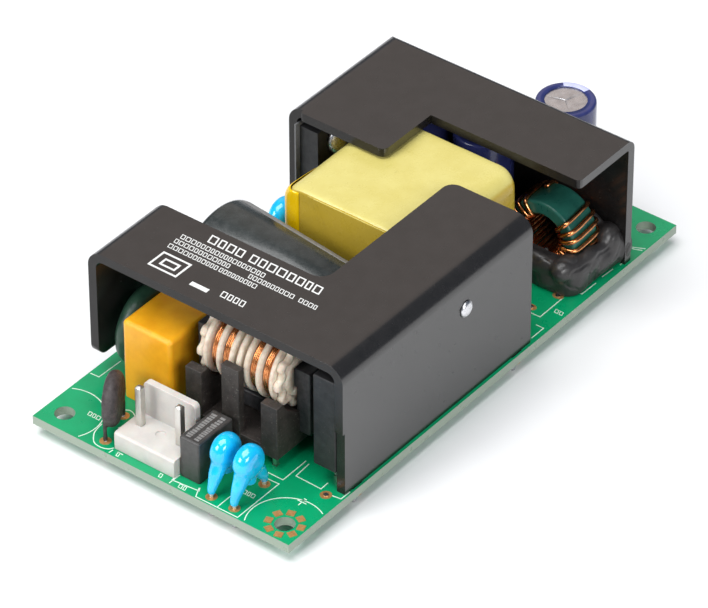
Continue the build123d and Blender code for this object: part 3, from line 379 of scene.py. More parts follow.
# %% Sweep a wire
def wire(form, points, radius_mm, sides):
    """A round bar along points in metres; the radius may be one number or one for each point."""
    count = len(points)
    radii = radius_mm if isinstance(radius_mm, list) else [radius_mm] * count
    ways = []
    for i in range(count):
        before, after = points[max(i - 1, 0)], points[min(i + 1, count - 1)]
        ways.append((after - before).normalized())
    side = ways[0].orthogonal().normalized()
    rings = []
    for i in range(count):
        side = (side - ways[i] * side.dot(ways[i])).normalized()
        other = ways[i].cross(side)
        ring = []
        for k in range(sides):
            turn = 2 * math.pi * k / sides
            offset = (side * math.cos(turn) + other * math.sin(turn)) * radii[i] / 1000
            ring.append(form.verts.new(points[i] + offset))
        rings.append(ring)
    return skin(form, rings)


# %% Turn a profile round an axis
def lathe_point(place, reach, turn, height):
    """A place on the lathe, in millimetres round Z, moved by a matrix in metres."""
    return place @ (Vector((reach * math.cos(turn), reach * math.sin(turn), height)) / 1000)


def turned_form(form, profile, place, sides, closed=False, wobble=None):
    """Revolves (radius, height) pairs; wobble may move each corner in or out."""
    rings = []
    for radius, height in profile:
        ring = []
        for k in range(sides):
            turn = 2 * math.pi * k / sides
            reach = radius + (wobble(turn, height) if wobble else 0)
            ring.append(form.verts.new(lathe_point(place, reach, turn, height)))
        rings.append(ring)
    return skin(form, rings, closed)


def quarter(centre, radius):
    """Points of a quarter round about (radius, height), from the side up to the top."""
    turns = [math.radians(90 * i / 6) for i in range(7)]
    return [(centre[0] + radius * math.cos(t), centre[1] + radius * math.sin(t)) for t in turns]


# %% Lay ink and plain blocks
INK_THICK = 0.03


def ribbon(form, points, width_mm, z, thick_mm=INK_THICK, closed=False):
    """A flat line with mitred corners along (x, y) places, lying on a level face at height z."""
    count = len(points)
    rows = []
    for i in range(count):
        here = Vector(points[i])
        before = Vector(points[i - 1]) if i or closed else None
        after = Vector(points[(i + 1) % count]) if i < count - 1 or closed else None
        way_in = (here - before).normalized() if before else (after - here).normalized()
        way_out = (after - here).normalized() if after else way_in
        side_in, side_out = Vector((-way_in.y, way_in.x)), Vector((-way_out.y, way_out.x))
        side = (side_in + side_out).normalized()
        reach = width_mm / 2 / max(side.dot(side_in), 0.4)
        left, right_edge = here + side * reach, here - side * reach
        corners = ((left, z), (right_edge, z), (right_edge, z + thick_mm), (left, z + thick_mm))
        rows.append([form.verts.new(at(spot.x, spot.y, height)) for spot, height in corners])
    return skin(form, rows, closed)


def block(form, corners, z_span):
    """An upright block over (x, y) corners."""
    return skin(form, [[form.verts.new(at(x, y, z)) for x, y in corners] for z in z_span])


def plate(form, centre, reach, z_span, sides=24):
    """A low round or oval plate."""
    turns = [2 * math.pi * k / sides for k in range(sides)]
    rim = [(centre[0] + reach[0] * math.cos(t), centre[1] + reach[1] * math.sin(t)) for t in turns]
    return block(form, rim, z_span)


# %% Copy a solid with rounded edges
EASED_ANGLE = math.radians(32)
JOINED_ANGLE = math.radians(1.0)
SAME_CORNER = 2e-6


def apply_all(made):
    """Turns an object's modifiers into mesh and keeps its normals."""
    reader = bpy.context.evaluated_depsgraph_get()
    mesh = bpy.data.meshes.new_from_object(
        made.evaluated_get(reader), preserve_all_data_layers=True, depsgraph=reader)
    made.modifiers.clear()
    made.data = mesh


def solid_copy(name, node, above=None):
    """A copy of a CAD node with its triangles joined into flat faces, cut off below a height if asked."""
    form = bmesh.new()
    form.from_mesh(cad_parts[node].data)
    bmesh.ops.remove_doubles(form, verts=form.verts, dist=SAME_CORNER)
    bmesh.ops.dissolve_limit(form, angle_limit=JOINED_ANGLE, verts=form.verts, edges=form.edges)
    if above is not None:
        parts = form.verts[:] + form.edges[:] + form.faces[:]
        cut = bmesh.ops.bisect_plane(
            form, geom=parts, plane_co=at(0, 0, above), plane_no=(0, 0, 1), clear_inner=True)
        rim = [item for item in cut["geom_cut"] if isinstance(item, bmesh.types.BMEdge)]
        bmesh.ops.contextual_create(form, geom=rim)
        bmesh.ops.holes_fill(form, edges=[edge for edge in form.edges if edge.is_boundary], sides=0)
    return new_object(name, form)


def round_upright(made, x, y, radius_mm):
    """Rounds the upright edges that stand at one place of the board."""
    form = bmesh.new()
    form.from_mesh(made.data)
    place = at(x, y)
    chosen = [edge for edge in form.edges
              if all(math.hypot(end.co.x - place.x, end.co.y - place.y) < 5e-5 for end in edge.verts)]
    bmesh.ops.bevel(form, geom=chosen, offset=radius_mm / 1000, segments=5, profile=0.5, affect="EDGES")
    form.to_mesh(made.data)
    form.free()


def eased(name, material, slot, node, width_mm, steps=2, uprights=()):
    """A solid made again with its edges eased by a small round."""
    made = solid_copy(name, node)
    for upright_edge in uprights:
        round_upright(made, *upright_edge)
    smooth_all(made)
    round_off = made.modifiers.new("ease", "BEVEL")
    round_off.width = width_mm / 1000
    round_off.segments = steps
    round_off.limit_method = "ANGLE"
    round_off.angle_limit = EASED_ANGLE
    steady = made.modifiers.new("steady", "WEIGHTED_NORMAL")
    steady.weight = 100
    apply_all(made)
    return place_piece(made, material, slot, node)


# %% Rebuild a form in small cells
def recast(made, cell_mm, passes):
    """Makes an object again in small cells and irons them, so that its forms flow together."""
    cells = made.modifiers.new("cells", "REMESH")
    cells.mode = "VOXEL"
    cells.voxel_size = cell_mm / 1000
    ironed = made.modifiers.new("ironed", "SMOOTH")
    ironed.factor = 0.5
    ironed.iterations = passes
    apply_all(made)


def swollen(made, swell):
    """Moves each corner out or in by a number of millimetres that depends on its place."""
    for point in made.data.vertices:
        point.co += point.normal * swell(point.co * 1000) / 1000
    smooth_all(made)


def dipped(name, material, slot, node, cell_mm, passes, swell, above):
    """A dip coat on a disc with legs, which ends at a height above the board."""
    made = solid_copy(name, node, above)
    recast(made, cell_mm, passes)
    swollen(made, swell)
    return place_piece(made, material, slot, node)


print("tools ready")

# %% [markdown]
# Folded and moulded pieces keep their CAD shape and only lose their knife edges. A
# press leaves a round of about 0.2 mm on the sheet's cut, and a mould leaves one on
# every corner it can't fill. The bevel is worked out on joined flat faces, so it stays
# even along long edges. Both heatsinks get painted shade on each face that looks along
# the board: a copy of their skin with a weaker gloss, which darkens those faces.

# %% Sheet metal and moulded cases with eased edges
LOOKS_ALONG = 0.65


def shade_faces_along_board(made):
    """Paints shade on the faces of a sheet that look along the board, with a duller copy of its skin."""
    made.data.materials.append(anodised_painted_shade)
    for face in made.data.polygons:
        if abs(face.normal.x) > LOOKS_ALONG:
            face.material_index = 1


# Both sheets get painted shade on their faces that look along the board.
shade_faces_along_board(eased("front_heatsink_sheet", anodised, "black_anodised", "front_heatsink", width_mm=0.22))
shade_faces_along_board(eased("rear_heatsink_sheet", anodised, "black_anodised", "rear_heatsink", width_mm=0.22,
                uprights=((74.5, 0.5, 0.9),)))
eased("input_header_body", nylon, "white_nylon", "input_header", width_mm=0.28)
eased("output_header_body", nylon, "white_nylon", "output_header", width_mm=0.28)
eased("input_posts", post, "tinned_pins", "input_header_pins", width_mm=0.10)
eased("output_posts", post, "tinned_pins", "output_header_pins", width_mm=0.10)
eased("bridge_body", dark_case, "black_case", "bridge_rectifier", width_mm=0.25)
eased("transistor_body", dark_case, "black_case", "switch_transistor", width_mm=0.20)
eased("rectifier_body", dark_case, "black_case", "output_rectifier", width_mm=0.20)
eased("choke_saddle", dusty_case, "black_case", "choke_base", width_mm=0.22)
eased("choke_frame", ferrite, "ferrite", "choke_core", width_mm=0.30)
eased("ring_core", ring_green, "green_core", "output_choke_core", width_mm=0.55, steps=3)
eased("opto_body", pale_case, "optocoupler_case", "optocoupler", width_mm=0.12)
eased("chip_body", dark_case, "black_case", "controller_chip", width_mm=0.08)

# %% [markdown]
# The film capacitor sits in a moulded box filled with resin, so its corners are round
# already. The fuse box is smaller and a little sharper. Its top carries two rows of
# small plain cells in grey ink.

# %% The two moulded boxes
eased("film_capacitor_box", amber, "yellow_case", "film_capacitor", width_mm=0.15)
eased("fuse_box", fuse_case, "fuse_case", "fuse", width_mm=0.12)


def print_row(form, x, y_from, y_to, height_mm, z):
    """A row of plain leaning cells, each drawn as an outline."""
    y = y_from
    step = -1 if y_to < y_from else 1
    while (y_to - y) * step > height_mm * 0.35:
        wide = height_mm * random.uniform(0.42, 0.72)
        lean, stroke = -height_mm * 0.22 * step, height_mm * 0.13
        low, high = x - height_mm / 2 + stroke / 2, x + height_mm / 2 - stroke / 2
        first, second = y - lean / 2, y + lean / 2
        cell = ((low, first), (high, second), (high, second + wide * step), (low, first + wide * step))
        ribbon(form, cell, stroke, z, closed=True)
        y += step * (wide + height_mm * 0.34)


FUSE_TOP, FUSE_X, FUSE_Y, FUSE_INK = 7.8, (2.8, 11.2), (19.6, 23.5), 0.02
fuse_print = bmesh.new()
for y in (FUSE_Y[0] + 1.15, FUSE_Y[0] + 2.75):
    x = FUSE_X[0] + 0.7
    while x < FUSE_X[1] - 1.0:
        cell = random.uniform(0.45, 0.75)
        low, high, end = y - 0.5, y + random.uniform(0.35, 0.55), x + cell * 0.7
        block(fuse_print, ((x, low), (end, low), (end, high), (x, high)), (FUSE_TOP, FUSE_TOP + FUSE_INK))
        x += cell
keep("fuse_print", fuse_print, grey_ink, "fuse_case", smooth=False)

# %% [markdown]
# A disc part is dipped in resin while it hangs by its legs. The coat runs down the legs,
# fills the corners between leg and disc and ends where the dip ended. Rebuilding the
# solid in small cells and then ironing it gives just these soft fillets. The blue discs
# are built up first from a lens and two tapering legs, because their coat thins on the
# way down. Under the coat the legs are bare wire.

# %% Dipped parts
def uneven(size_mm, depth_mm, seed):
    """Lets a coat swell and sink a little."""
    return lambda spot: depth_mm * noise.noise(spot / size_mm + Vector((seed, 0, 0)))


def bare_legs(name, places, top_mm, radius_mm=0.35):
    """Bare wire below a dip coat, down through the board."""
    legs = bmesh.new()
    for x, y in places:
        wire(legs, [at(x, y, BOARD_BOTTOM), at(x, y, top_mm)], radius_mm, 12)
    return keep(name, legs, post, "tinned_pins")


dipped("thermistor_dip", maroon, "thermistor_coat", "thermistor", cell_mm=0.17, passes=5,
       swell=uneven(1.2, 0.09, 3), above=0.12)
bare_legs("thermistor_legs", ((2.18, 37.84), (8.62, 39.56)), 0.6, 0.3)
dipped("varistor_dip", dark_green, "varistor_coat", "varistor", cell_mm=0.24, passes=6,
       swell=uneven(2.5, 0.10, 5), above=1.2)
bare_legs("varistor_legs", ((17.95, 45.0), (25.45, 45.0)), 2.0)
BLUE_DISCS = (("y_capacitor_1", 5.4, 16.4, 2.95), ("y_capacitor_2", 5.4, 11.9, 2.95),
              ("y_capacitor_3", 57.5, 46.5, 3.3))
DISC_MIDDLE, DISC_HALF, LEG_REACH, DIP_END = 6.85, 1.7, 3.65, 0.75


def hung_disc(node, x, y, radius_mm, seed):
    """A disc whose coat runs down its two legs and thins on the way."""
    form = bmesh.new()
    lens = []
    for i in range(17):
        turn = math.radians(-80 + 10 * i)
        lens.append((radius_mm * math.cos(turn) ** 0.5, DISC_HALF * math.sin(turn)))
    standing = Matrix.Translation(at(x, y, DISC_MIDDLE)) @ Matrix.Rotation(math.pi / 2, 4, "X")
    turned_form(form, lens, standing, 40)
    wire(form, [at(x, y, DISC_MIDDLE - 1.0), at(x, y, 2.9)], [1.5, 1.1], 20)
    for way in (-1, 1):
        line = [(1.3, DISC_MIDDLE - 1.2), (2.45, 3.7), (3.25, 2.2), (LEG_REACH, 1.3), (LEG_REACH, DIP_END)]
        wire(form, [at(x + way * off, y, up) for off, up in line], [1.5, 1.2, 0.9, 0.72, 0.62], 16)
    made = keep(node + "_dip", form, blue, "blue_coat", node)
    recast(made, 0.15, 12)
    swollen(made, uneven(2.2, 0.10, seed))


for seed, (node, x, y, radius) in enumerate(BLUE_DISCS):
    hung_disc(node, x, y, radius, seed)
    bare_legs(node + "_legs", ((x - LEG_REACH, y), (x + LEG_REACH, y)), 1.4)

# %% [markdown]
# The output choke is wound by hand with stiff enamelled wire about 0.78 mm thick. Each
# turn hugs the ring's square section and its corners stay round, because such wire
# doesn't fold. One long path with a turn of its own for each pass gives the true lie of
# the wire, where separate loops would look like a row of links.

# %% The output choke's wire
RING_MIDDLE, RING_OUTER, RING_BORE, RING_WIDTH = (81.475, 10.2, 7.15), 6.35, 3.85, 6.35
WIRE_RADIUS, WIRE_GAP, TURNS, FIRST_TURN, TURN_STEP = 0.39, 0.015, 20, -45.0, 14.8
SQUARENESS, STEPS = 4.2, 30


def ring_place(turn_degrees, depth, across):
    """A place by its angle round the ring, its distance from the axis and its place along the axis."""
    turn = math.radians(turn_degrees)
    x, y, z = RING_MIDDLE
    return at(x + across, y - depth * math.cos(turn), z - depth * math.sin(turn))


def section_place(share):
    """Round the ring's square section: distance from the axis, place along the axis."""
    turn = 2 * math.pi * share
    c, s = math.cos(turn), math.sin(turn)
    reach = 1 / (abs(c) ** SQUARENESS + abs(s) ** SQUARENESS) ** (1 / SQUARENESS)
    half_depth = (RING_OUTER - RING_BORE) / 2 + WIRE_RADIUS + WIRE_GAP
    half_width = RING_WIDTH / 2 + WIRE_RADIUS + WIRE_GAP
    return (RING_OUTER + RING_BORE) / 2 + half_depth * c * reach, -half_width * s * reach


wound = bmesh.new()
path = []
for i in range(-STEPS // 2, TURNS * STEPS):
    share = i / STEPS
    depth, across = section_place(share % 1.0)
    sway = 0.8 * math.sin(share * 2.4) if 1 < share < TURNS - 1 else 0.0
    path.append(ring_place(FIRST_TURN + TURN_STEP * share + sway, depth, across))
wire(wound, path, WIRE_RADIUS, 10)
keep("output_choke_wire", wound, enamel, "enamelled_copper", "output_choke_winding")

# %% [markdown]
# The line choke's four windings are many turns of thinner wire laid side by side in the
# slots of the bobbin. Only the outer layer shows. Each slot gets one helix for that
# layer over a plain core of copper, which is all that light can reach.

# %% The line choke's windings
CHOKE_MIDDLE = (19.8, 20.9, 14.8)
SLOTS = ((-4.95, 1.3), (-2.65, 1.5), (2.65, 1.5), (4.95, 1.3))
STRAND, STRAND_GAP, COIL_BORE, CORE_RADIUS, TURN_CORNERS = 0.18, 0.015, 3.4, 5.0, 40


def choke_place(turn, reach, along):
    """Round the choke's axis, which runs along y."""
    x, y, z = CHOKE_MIDDLE
    return at(x + reach * math.cos(turn), y + along, z + reach * math.sin(turn))


coils = bmesh.new()
for middle, width in SLOTS:
    half = width / 2
    profile = ((COIL_BORE, -half), (CORE_RADIUS, -half), (CORE_RADIUS, half), (COIL_BORE, half))
    slot_middle = at(CHOKE_MIDDLE[0], CHOKE_MIDDLE[1] + middle, CHOKE_MIDDLE[2])
    lying = Matrix.Translation(slot_middle) @ Matrix.Rotation(math.pi / 2, 4, "X")
    turned_form(coils, profile, lying, 48, closed=True)
    turns = int(width / (2 * STRAND + STRAND_GAP))
    last = turns * TURN_CORNERS
    strand = []
    for i in range(last + 1):
        turn = 2 * math.pi * i / TURN_CORNERS
        along = middle - width / 2 + STRAND + (width - 2 * STRAND) * i / last
        reach = CORE_RADIUS + STRAND * 0.9 + 0.10 * noise.noise(Vector((i * 0.05, middle, 0)))
        strand.append(choke_place(turn, reach, along))
    wire(coils, strand, STRAND, 8)
keep("choke_coils", coils, enamel, "enamelled_copper", "choke_windings")

# %% [markdown]
# The choke's bobbin is cast in soft beige nylon. Its section discs have fully round rims,
# and the blunt teeth on the end flanges are lumpy, with a round hollow sunk in the end
# faces. A lathe profile gives the rims, and letting the radius of the flange wave with
# the angle gives the teeth. The ferrite passes through the square bore.

# %% The choke's bobbin
DISC_RADIUS, TOOTH_COUNT, BOBBIN_HALF, BARREL = 6.0, 10, 8.1, 3.4
DISC_CENTRES = (-6.45, -3.85, -1.45, 0.0, 1.45, 3.85, 6.45)
BORE_HALF_X, BORE_HALF_Z, BOBBIN_CORNERS = 2.1, 2.0, 120


def rim(centre, width, radius):
    """One disc on the barrel, its rim fully round."""
    half = width / 2
    return [(BARREL, centre - half)] + [
        (radius - half + half * math.cos(t), centre + half * math.sin(t))
        for t in [math.radians(-90 + 180 * i / 8) for i in range(9)]] + [(BARREL, centre + half)]


def bore_ring(form, along):
    """A ring of corners on the nearly square bore."""
    ring = []
    for k in range(BOBBIN_CORNERS):
        turn = 2 * math.pi * k / BOBBIN_CORNERS
        reach = 1 / max(abs(math.cos(turn)) / BORE_HALF_X, abs(math.sin(turn)) / BORE_HALF_Z)
        ring.append(form.verts.new(choke_place(turn, reach, along)))
    return ring


def bobbin_radius(turn, height, radius):
    """Adds teeth to the end flanges and a slight wave to every rim."""
    wave = 0.05 * noise.noise(Vector((2 * math.cos(turn), 2 * math.sin(turn), height)))
    if abs(height) > BOBBIN_HALF - 1.25 and radius > BARREL + 0.6:
        tooth = math.cos(TOOTH_COUNT * turn)
        return radius + 0.42 * math.tanh(2.4 * tooth) - 0.42 + wave
    return radius + (wave if radius > BARREL else 0)


bobbin = bmesh.new()
profile = []
for centre in DISC_CENTRES:
    if abs(centre) < 6:
        profile += rim(centre, 0.9, DISC_RADIUS)
    else:
        outer = [(BARREL, centre - 0.45)] + rim(centre, 0.9, DISC_RADIUS)[1:-1]
        flange = centre + math.copysign(1.05, centre)
        low_edge = [(DISC_RADIUS - 0.6, -0.6), (DISC_RADIUS - 0.12, -0.45), (DISC_RADIUS, -0.15)]
        high_edge = [(radius, -offset) for radius, offset in reversed(low_edge)]
        edge = [(radius, flange + offset) for radius, offset in low_edge + high_edge]
        profile += outer + edge if centre > 0 else edge + rim(centre, 0.9, DISC_RADIUS)[1:]
hollow_floor = -BOBBIN_HALF + 0.5
hollow_low = [(3.9, -BOBBIN_HALF), (4.0, hollow_floor), (4.9, hollow_floor), (5.0, -BOBBIN_HALF)]
hollow_high = [(radius, -height) for radius, height in reversed(hollow_low)]
rings = [bore_ring(bobbin, -BOBBIN_HALF)]
for radius, height in hollow_low + profile + hollow_high:
    ring = []
    for k in range(BOBBIN_CORNERS):
        turn = 2 * math.pi * k / BOBBIN_CORNERS
        ring.append(bobbin.verts.new(choke_place(turn, bobbin_radius(turn, height, radius), height)))
    rings.append(ring)
rings.append(bore_ring(bobbin, BOBBIN_HALF))
skin(bobbin, rings, closed=True)
keep("choke_bobbin_cast", bobbin, beige, "bobbin_nylon", "choke_bobbin")

# %% [markdown]
# The aluminium cans wear a printed plastic film, shrunk on hot. The film dips where the
# can is rolled in round its seal, turns over the closed end and stops in an open ring, so
# the bare can shows in the middle. The can is turned just small enough to stand inside
# its film.

# %% Shrunk film and cans
FILM_THICK = 0.19


def film_profile(radius, length, shoulder, groove, depth, opening):
    """The closed section of a film: up the outside, over the end, and down the inside."""
    outer = [(radius, 0.02)]
    for i in range(-4, 5):
        dip = depth * (0.5 + 0.5 * math.cos(math.pi * i / 4))
        outer.append((radius - dip, groove + 0.22 * depth * i))
    outer += quarter((radius - shoulder, length - shoulder), shoulder)
    outer.append((opening, length))
    inner = []
    for r, h in reversed(outer[:-1]):
        drop = FILM_THICK if r < radius - shoulder * 0.5 else 0
        inner.append((max(r - FILM_THICK, opening), h - drop))
    return outer + [(opening, length - FILM_THICK)] + inner


def band_form(form, profile, place, start, end, lift_mm, steps=10):
    """A printed band over part of a turned film, with a little thickness of its own."""
    rows = []
    for lift in (0.0, lift_mm):
        sheet = []
        for radius, height in profile:
            row = []
            for k in range(steps + 1):
                turn = math.radians(start + (end - start) * k / steps)
                row.append(form.verts.new(lathe_point(place, radius + lift, turn, height + lift)))
            sheet.append(row)
        rows.append(sheet)
    rings = [low + high[::-1] for low, high in zip(*rows)]
    return skin(form, rings)


CAN_CORNERS, FACE_ROUNDS, SCORE_DEPTH, SCORE_HALF = 96, 30, 0.07, 0.22


def scored_can(form, place, radius, height, face_radius, spokes):
    """A drawn can whose flat end is scored, so that it can open if it ever bursts."""
    turns = [2 * math.pi * k / CAN_CORNERS for k in range(CAN_CORNERS)]
    rings = []
    for wall_radius, level in ((radius, 0.0), (radius, height - 0.45), (radius - 0.2, height - 0.12)):
        rings.append([form.verts.new(lathe_point(place, wall_radius, turn, level)) for turn in turns])
    for i in range(FACE_ROUNDS):
        reach = face_radius * (1 - i / FACE_ROUNDS)
        ring = []
        for turn in turns:
            x, y = reach * math.cos(turn), reach * math.sin(turn)
            sunk = 0.0
            for spoke in spokes:
                away = abs(-x * math.sin(spoke) + y * math.cos(spoke))
                ahead = x * math.cos(spoke) + y * math.sin(spoke)
                if away < SCORE_HALF and ahead > -0.15 and reach < face_radius * 0.92:
                    sunk = max(sunk, SCORE_DEPTH * (1 - away / SCORE_HALF))
            ring.append(form.verts.new(lathe_point(place, reach, turn, height - sunk)))
        rings.append(ring)
    return skin(form, rings)


UPRIGHT = (("output_capacitor_1", (95.3, 18.2), 5.0, 20.8, 12),
           ("output_capacitor_2", (80.8, 23.9), 5.0, 20.8, 20),
           ("output_capacitor_3", (80.8, 34.6), 5.0, 20.8, 340),
           ("supply_capacitor", (81.5, 43.9), 3.15, 11.5, 90))
FILM_ROOM, LIP, GROOVE = 0.2, 1.3, (0.5, 2.4, 0.45)
bands, bars = bmesh.new(), bmesh.new()
for seed, (name, (x, y), radius, height, facing) in enumerate(UPRIGHT):
    place = Matrix.Translation(at(x, y))
    opening = radius - FILM_ROOM - LIP
    section = film_profile(radius, height, *GROOVE, opening)

    def ripple(turn, h):
        """The film's slight unevenness."""
        return 0.015 * noise.noise(Vector((3 * math.cos(turn), 3 * math.sin(turn), h * 0.4 + seed)))

    keep(name + "_film", turned_form(bmesh.new(), section, place, 96, closed=True, wobble=ripple),
         navy, "upright_sleeve", name + "_sleeve")
    spokes = [math.radians(facing + turn) for turn in (95, 215, 335)]
    can = scored_can(bmesh.new(), place, radius - FILM_ROOM, height - FILM_ROOM, opening + 0.1, spokes)
    keep(name + "_metal", can, can_metal, "capacitor_can", name + "_can")
    shoulder = GROOVE[0]
    wall = [(radius, 3.2), (radius, height - shoulder)]
    wall += quarter((radius - shoulder, height - shoulder), shoulder)[1:] + [(opening + 0.1, height)]
    band_form(bands, wall, place, facing - 30, facing + 30, 0.025)
    for i in range(int(height / 4) - 1):
        low = 4.0 + i * 4
        band_form(bars, [(radius, low), (radius, low + 2.0)], place, facing - 6, facing + 6, 0.045, 4)
keep("polarity_bands", bands, band_film, "upright_sleeve")
keep("polarity_bars", bars, navy, "upright_sleeve")

# %% [markdown]
# The bulk capacitor is the largest can and lies across the board, with its rolled groove
# near the wall. Its sleeve is turned the same way and then laid down on its near rim,
# turned a few degrees and raised a little at the far end, as it was soldered.

# %% The bulk capacitor's sleeve
BULK_FAR, BULK_TURN, BULK_LIFT = (38.9, 45.3), math.radians(2.8), math.radians(4.4)
BULK_LENGTH, BULK_RADIUS = 35.8, 9.05
reach = BULK_LENGTH * math.cos(BULK_LIFT)
near = (BULK_FAR[0] - reach * math.sin(BULK_TURN), BULK_FAR[1] - reach * math.cos(BULK_TURN))
lying = Matrix.Translation(at(*near, BULK_RADIUS * math.cos(BULK_LIFT))) @ Matrix.Rotation(
    -BULK_TURN, 4, "Z") @ Matrix.Rotation(BULK_LIFT - math.pi / 2, 4, "X")
bulk_section = film_profile(BULK_RADIUS, BULK_LENGTH, 0.9, 3.4, 0.7, 7.55)


def bulk_ripple(turn, h):
    """The large film's slight unevenness."""
    return 0.03 * noise.noise(Vector((4 * math.cos(turn), 4 * math.sin(turn), h * 0.25)))


keep("bulk_film", turned_form(bmesh.new(), bulk_section, lying, 128, closed=True, wobble=bulk_ripple),
     charcoal, "bulk_sleeve", "bulk_capacitor_sleeve")
bulk_band = bmesh.new()
band_form(bulk_band, [(BULK_RADIUS, 4.6), (BULK_RADIUS, 34.6)], lying, -62, -22, 0.03, 12)
keep("bulk_band", bulk_band, grey_ink, "bulk_sleeve")
bulk_bars = bmesh.new()
for i in range(5):
    low = 7.5 + i * 5.5
    band_form(bulk_bars, [(BULK_RADIUS, low), (BULK_RADIUS, low + 2.6)], lying, -46, -38, 0.05, 4)
keep("bulk_bars", bulk_bars, charcoal, "bulk_sleeve")

# %% [markdown]
# The transformer is wrapped by hand in yellow polyester tape. The wrap is drawn tight
# over the ferrite, so its shoulders are round along one axis and nearly sharp along the
# other. It is never flat: the layers show as faint steps, one end is folded over the
# front at a slant, and a strip is turned round the far upright edge. The strip's colour
# is brighter than the wrap's: painted light, where the lamp from the left falls on that
# rounded corner.

# %% The transformer's wrap
WRAP_X, WRAP_Y, WRAP_Z = (48.3, 73.1), (11.3, 38.9), (4.2, 22.2)
UPRIGHT_ROUND, SHOULDER, TOP_ROUND, WRAP_SHRINK = 1.6, 3.0, 0.5, 0.972
wrap_middle = (sum(WRAP_X) / 2, sum(WRAP_Y) / 2)
wrap_half = ((WRAP_X[1] - WRAP_X[0]) / 2, (WRAP_Y[1] - WRAP_Y[0]) / 2)


def shrunk(height, round_mm):
    """How far a side has drawn in at a height, for a rounded top edge."""
    above = height - (WRAP_Z[1] - round_mm)
    return round_mm - math.sqrt(max(round_mm ** 2 - above ** 2, 0)) if above > 0 else 0.0


def wrap_corners(height, scale):
    """(x, y) places round the wrap at a height, anticlockwise from one end of the +x side."""
    half_x = (wrap_half[0] - shrunk(height, TOP_ROUND)) * scale
    half_y = (wrap_half[1] - shrunk(height, SHOULDER)) * scale
    radius = min(UPRIGHT_ROUND * scale, half_x, half_y)
    places = []
    for quadrant, (sx, sy) in enumerate(((1, 1), (-1, 1), (-1, -1), (1, -1))):
        for i in range(9):
            turn = math.radians(quadrant * 90 + i * 11.25)
            places.append((sx * (half_x - radius) + radius * math.cos(turn),
                           sy * (half_y - radius) + radius * math.sin(turn)))
        next_corner = ((-1, 1), (-1, -1), (1, -1), (1, 1))[quadrant]
        end = (next_corner[0] * (half_x - radius), next_corner[1] * (half_y - radius))
        turn = math.radians(quadrant * 90 + 90)
        stop = (end[0] + radius * math.cos(turn), end[1] + radius * math.sin(turn))
        start = places[-1]
        for i in range(1, 16):
            places.append(tuple(a + (b - a) * i / 16 for a, b in zip(start, stop)))
    return [(wrap_middle[0] + x, wrap_middle[1] + y) for x, y in places]


def wrap_wave(x, y, z):
    """The uneven pull of the tape, with a faint step where a layer ends."""
    slack = 0.09 * noise.noise(Vector((x / 5, y / 5, z / 7)))
    slack += 0.03 * noise.noise(Vector((x / 1.4, y / 3, z / 1.4)))
    layer = 0.05 if z > 12.6 + 0.5 * noise.noise(Vector((x / 6, y / 6, 0))) else 0.0
    return slack + layer


def wrap_ring(form, height, scale=1.0):
    """A ring of corners that the tape's pull has moved out on the walls and up on the top."""
    ring = []
    for x, y in wrap_corners(height, scale):
        out = Vector((x - wrap_middle[0], y - wrap_middle[1], 0)).normalized()
        wave = wrap_wave(x, y, height)
        if scale < 1 or height >= WRAP_Z[1]:
            ring.append(form.verts.new(at(x, y, height + wave * 0.8)))
        else:
            ring.append(form.verts.new(at(x + out.x * wave, y + out.y * wave, height)))
    return ring


wrap = bmesh.new()
heights = [WRAP_Z[0] + 15.0 * i / 24 for i in range(25)]
heights += [19.2 + SHOULDER * math.sin(math.radians(90 * i / 12)) for i in range(1, 12)]
heights += [21.95, 22.1, WRAP_Z[1]]
rings = [wrap_ring(wrap, height) for height in sorted(heights)]
rings += [wrap_ring(wrap, WRAP_Z[1], 1 - i / 14) for i in range(1, 13)]
foot = at(*wrap_middle, WRAP_Z[0])
inner = [[(corner.co - foot) * WRAP_SHRINK + foot for corner in ring] for ring in rings]
inside = [[wrap.verts.new(spot) for spot in ring] for ring in inner]
skin(wrap, [inside[-1]] + inside[-2::-1] + rings)
keep("transformer_wrap", wrap, yellow_tape, "yellow_tape", "transformer_tape")

# %% The strip round the far edge and the slanting fold
STRIP_PATH = ((55.0, 39.0), (52.4, 39.22), (50.4, 39.36), (49.4, 39.34), (48.75, 39.12),
              (48.34, 38.7), (48.14, 38.1), (48.10, 37.2), (48.12, 36.6), (48.16, 35.9))
TAPE = 0.09


def thick_outline(points, width_mm):
    """The closed outline of a thin sheet that stands along a path, seen from above."""
    near_side, far_side = [], []
    for i, here in enumerate(points):
        way = (Vector(points[min(i + 1, len(points) - 1)]) - Vector(points[max(i - 1, 0)])).normalized()
        side = Vector((-way.y, way.x)) * width_mm / 2
        near_side.append(Vector(here) + side)
        far_side.append(Vector(here) - side)
    return near_side + far_side[::-1]


strip = bmesh.new()
rings = []
for i in range(34):
    height = 4.6 + 17.0 * i / 33
    drawn_in = shrunk(height, SHOULDER) * 0.92
    path = [(x + 0.05 * noise.noise(Vector((y, height / 4, 1))),
             y - drawn_in * min(max(y - 36.5, 0) / 2.5, 1)) for x, y in STRIP_PATH]
    rings.append([strip.verts.new(at(spot.x, spot.y, height)) for spot in thick_outline(path, TAPE)])
skin(strip, rings)
# The strip's brighter colour is painted light on the far rounded corner.
keep("wrap_strip", strip, strip_tape_painted_light, "yellow_tape")

fold = bmesh.new()
FOLD_END = 13.2
FOLD_EDGE = ((34.1, 21.75), (33.1, 20.6), (30.8, 15.6), (28.8, 12.5), (27.4, 9.5), (26.6, 5.0))
for low, high in zip(FOLD_EDGE, FOLD_EDGE[1:]):
    for depth, thick, reach in ((0.10, 0.10, 0.0), (0.17, 0.07, 1.1)):
        corners = ((low[0] - reach, low[1]), (high[0] - reach, high[1]),
                   (FOLD_END, high[1]), (FOLD_END, low[1]))
        rings = []
        for x in (WRAP_X[0] - depth, WRAP_X[0] - depth + thick):
            rings.append([fold.verts.new(at(x, y, z)) for y, z in corners])
        skin(fold, rings)
keep("wrap_fold", fold, yellow_tape, "yellow_tape", smooth=False)

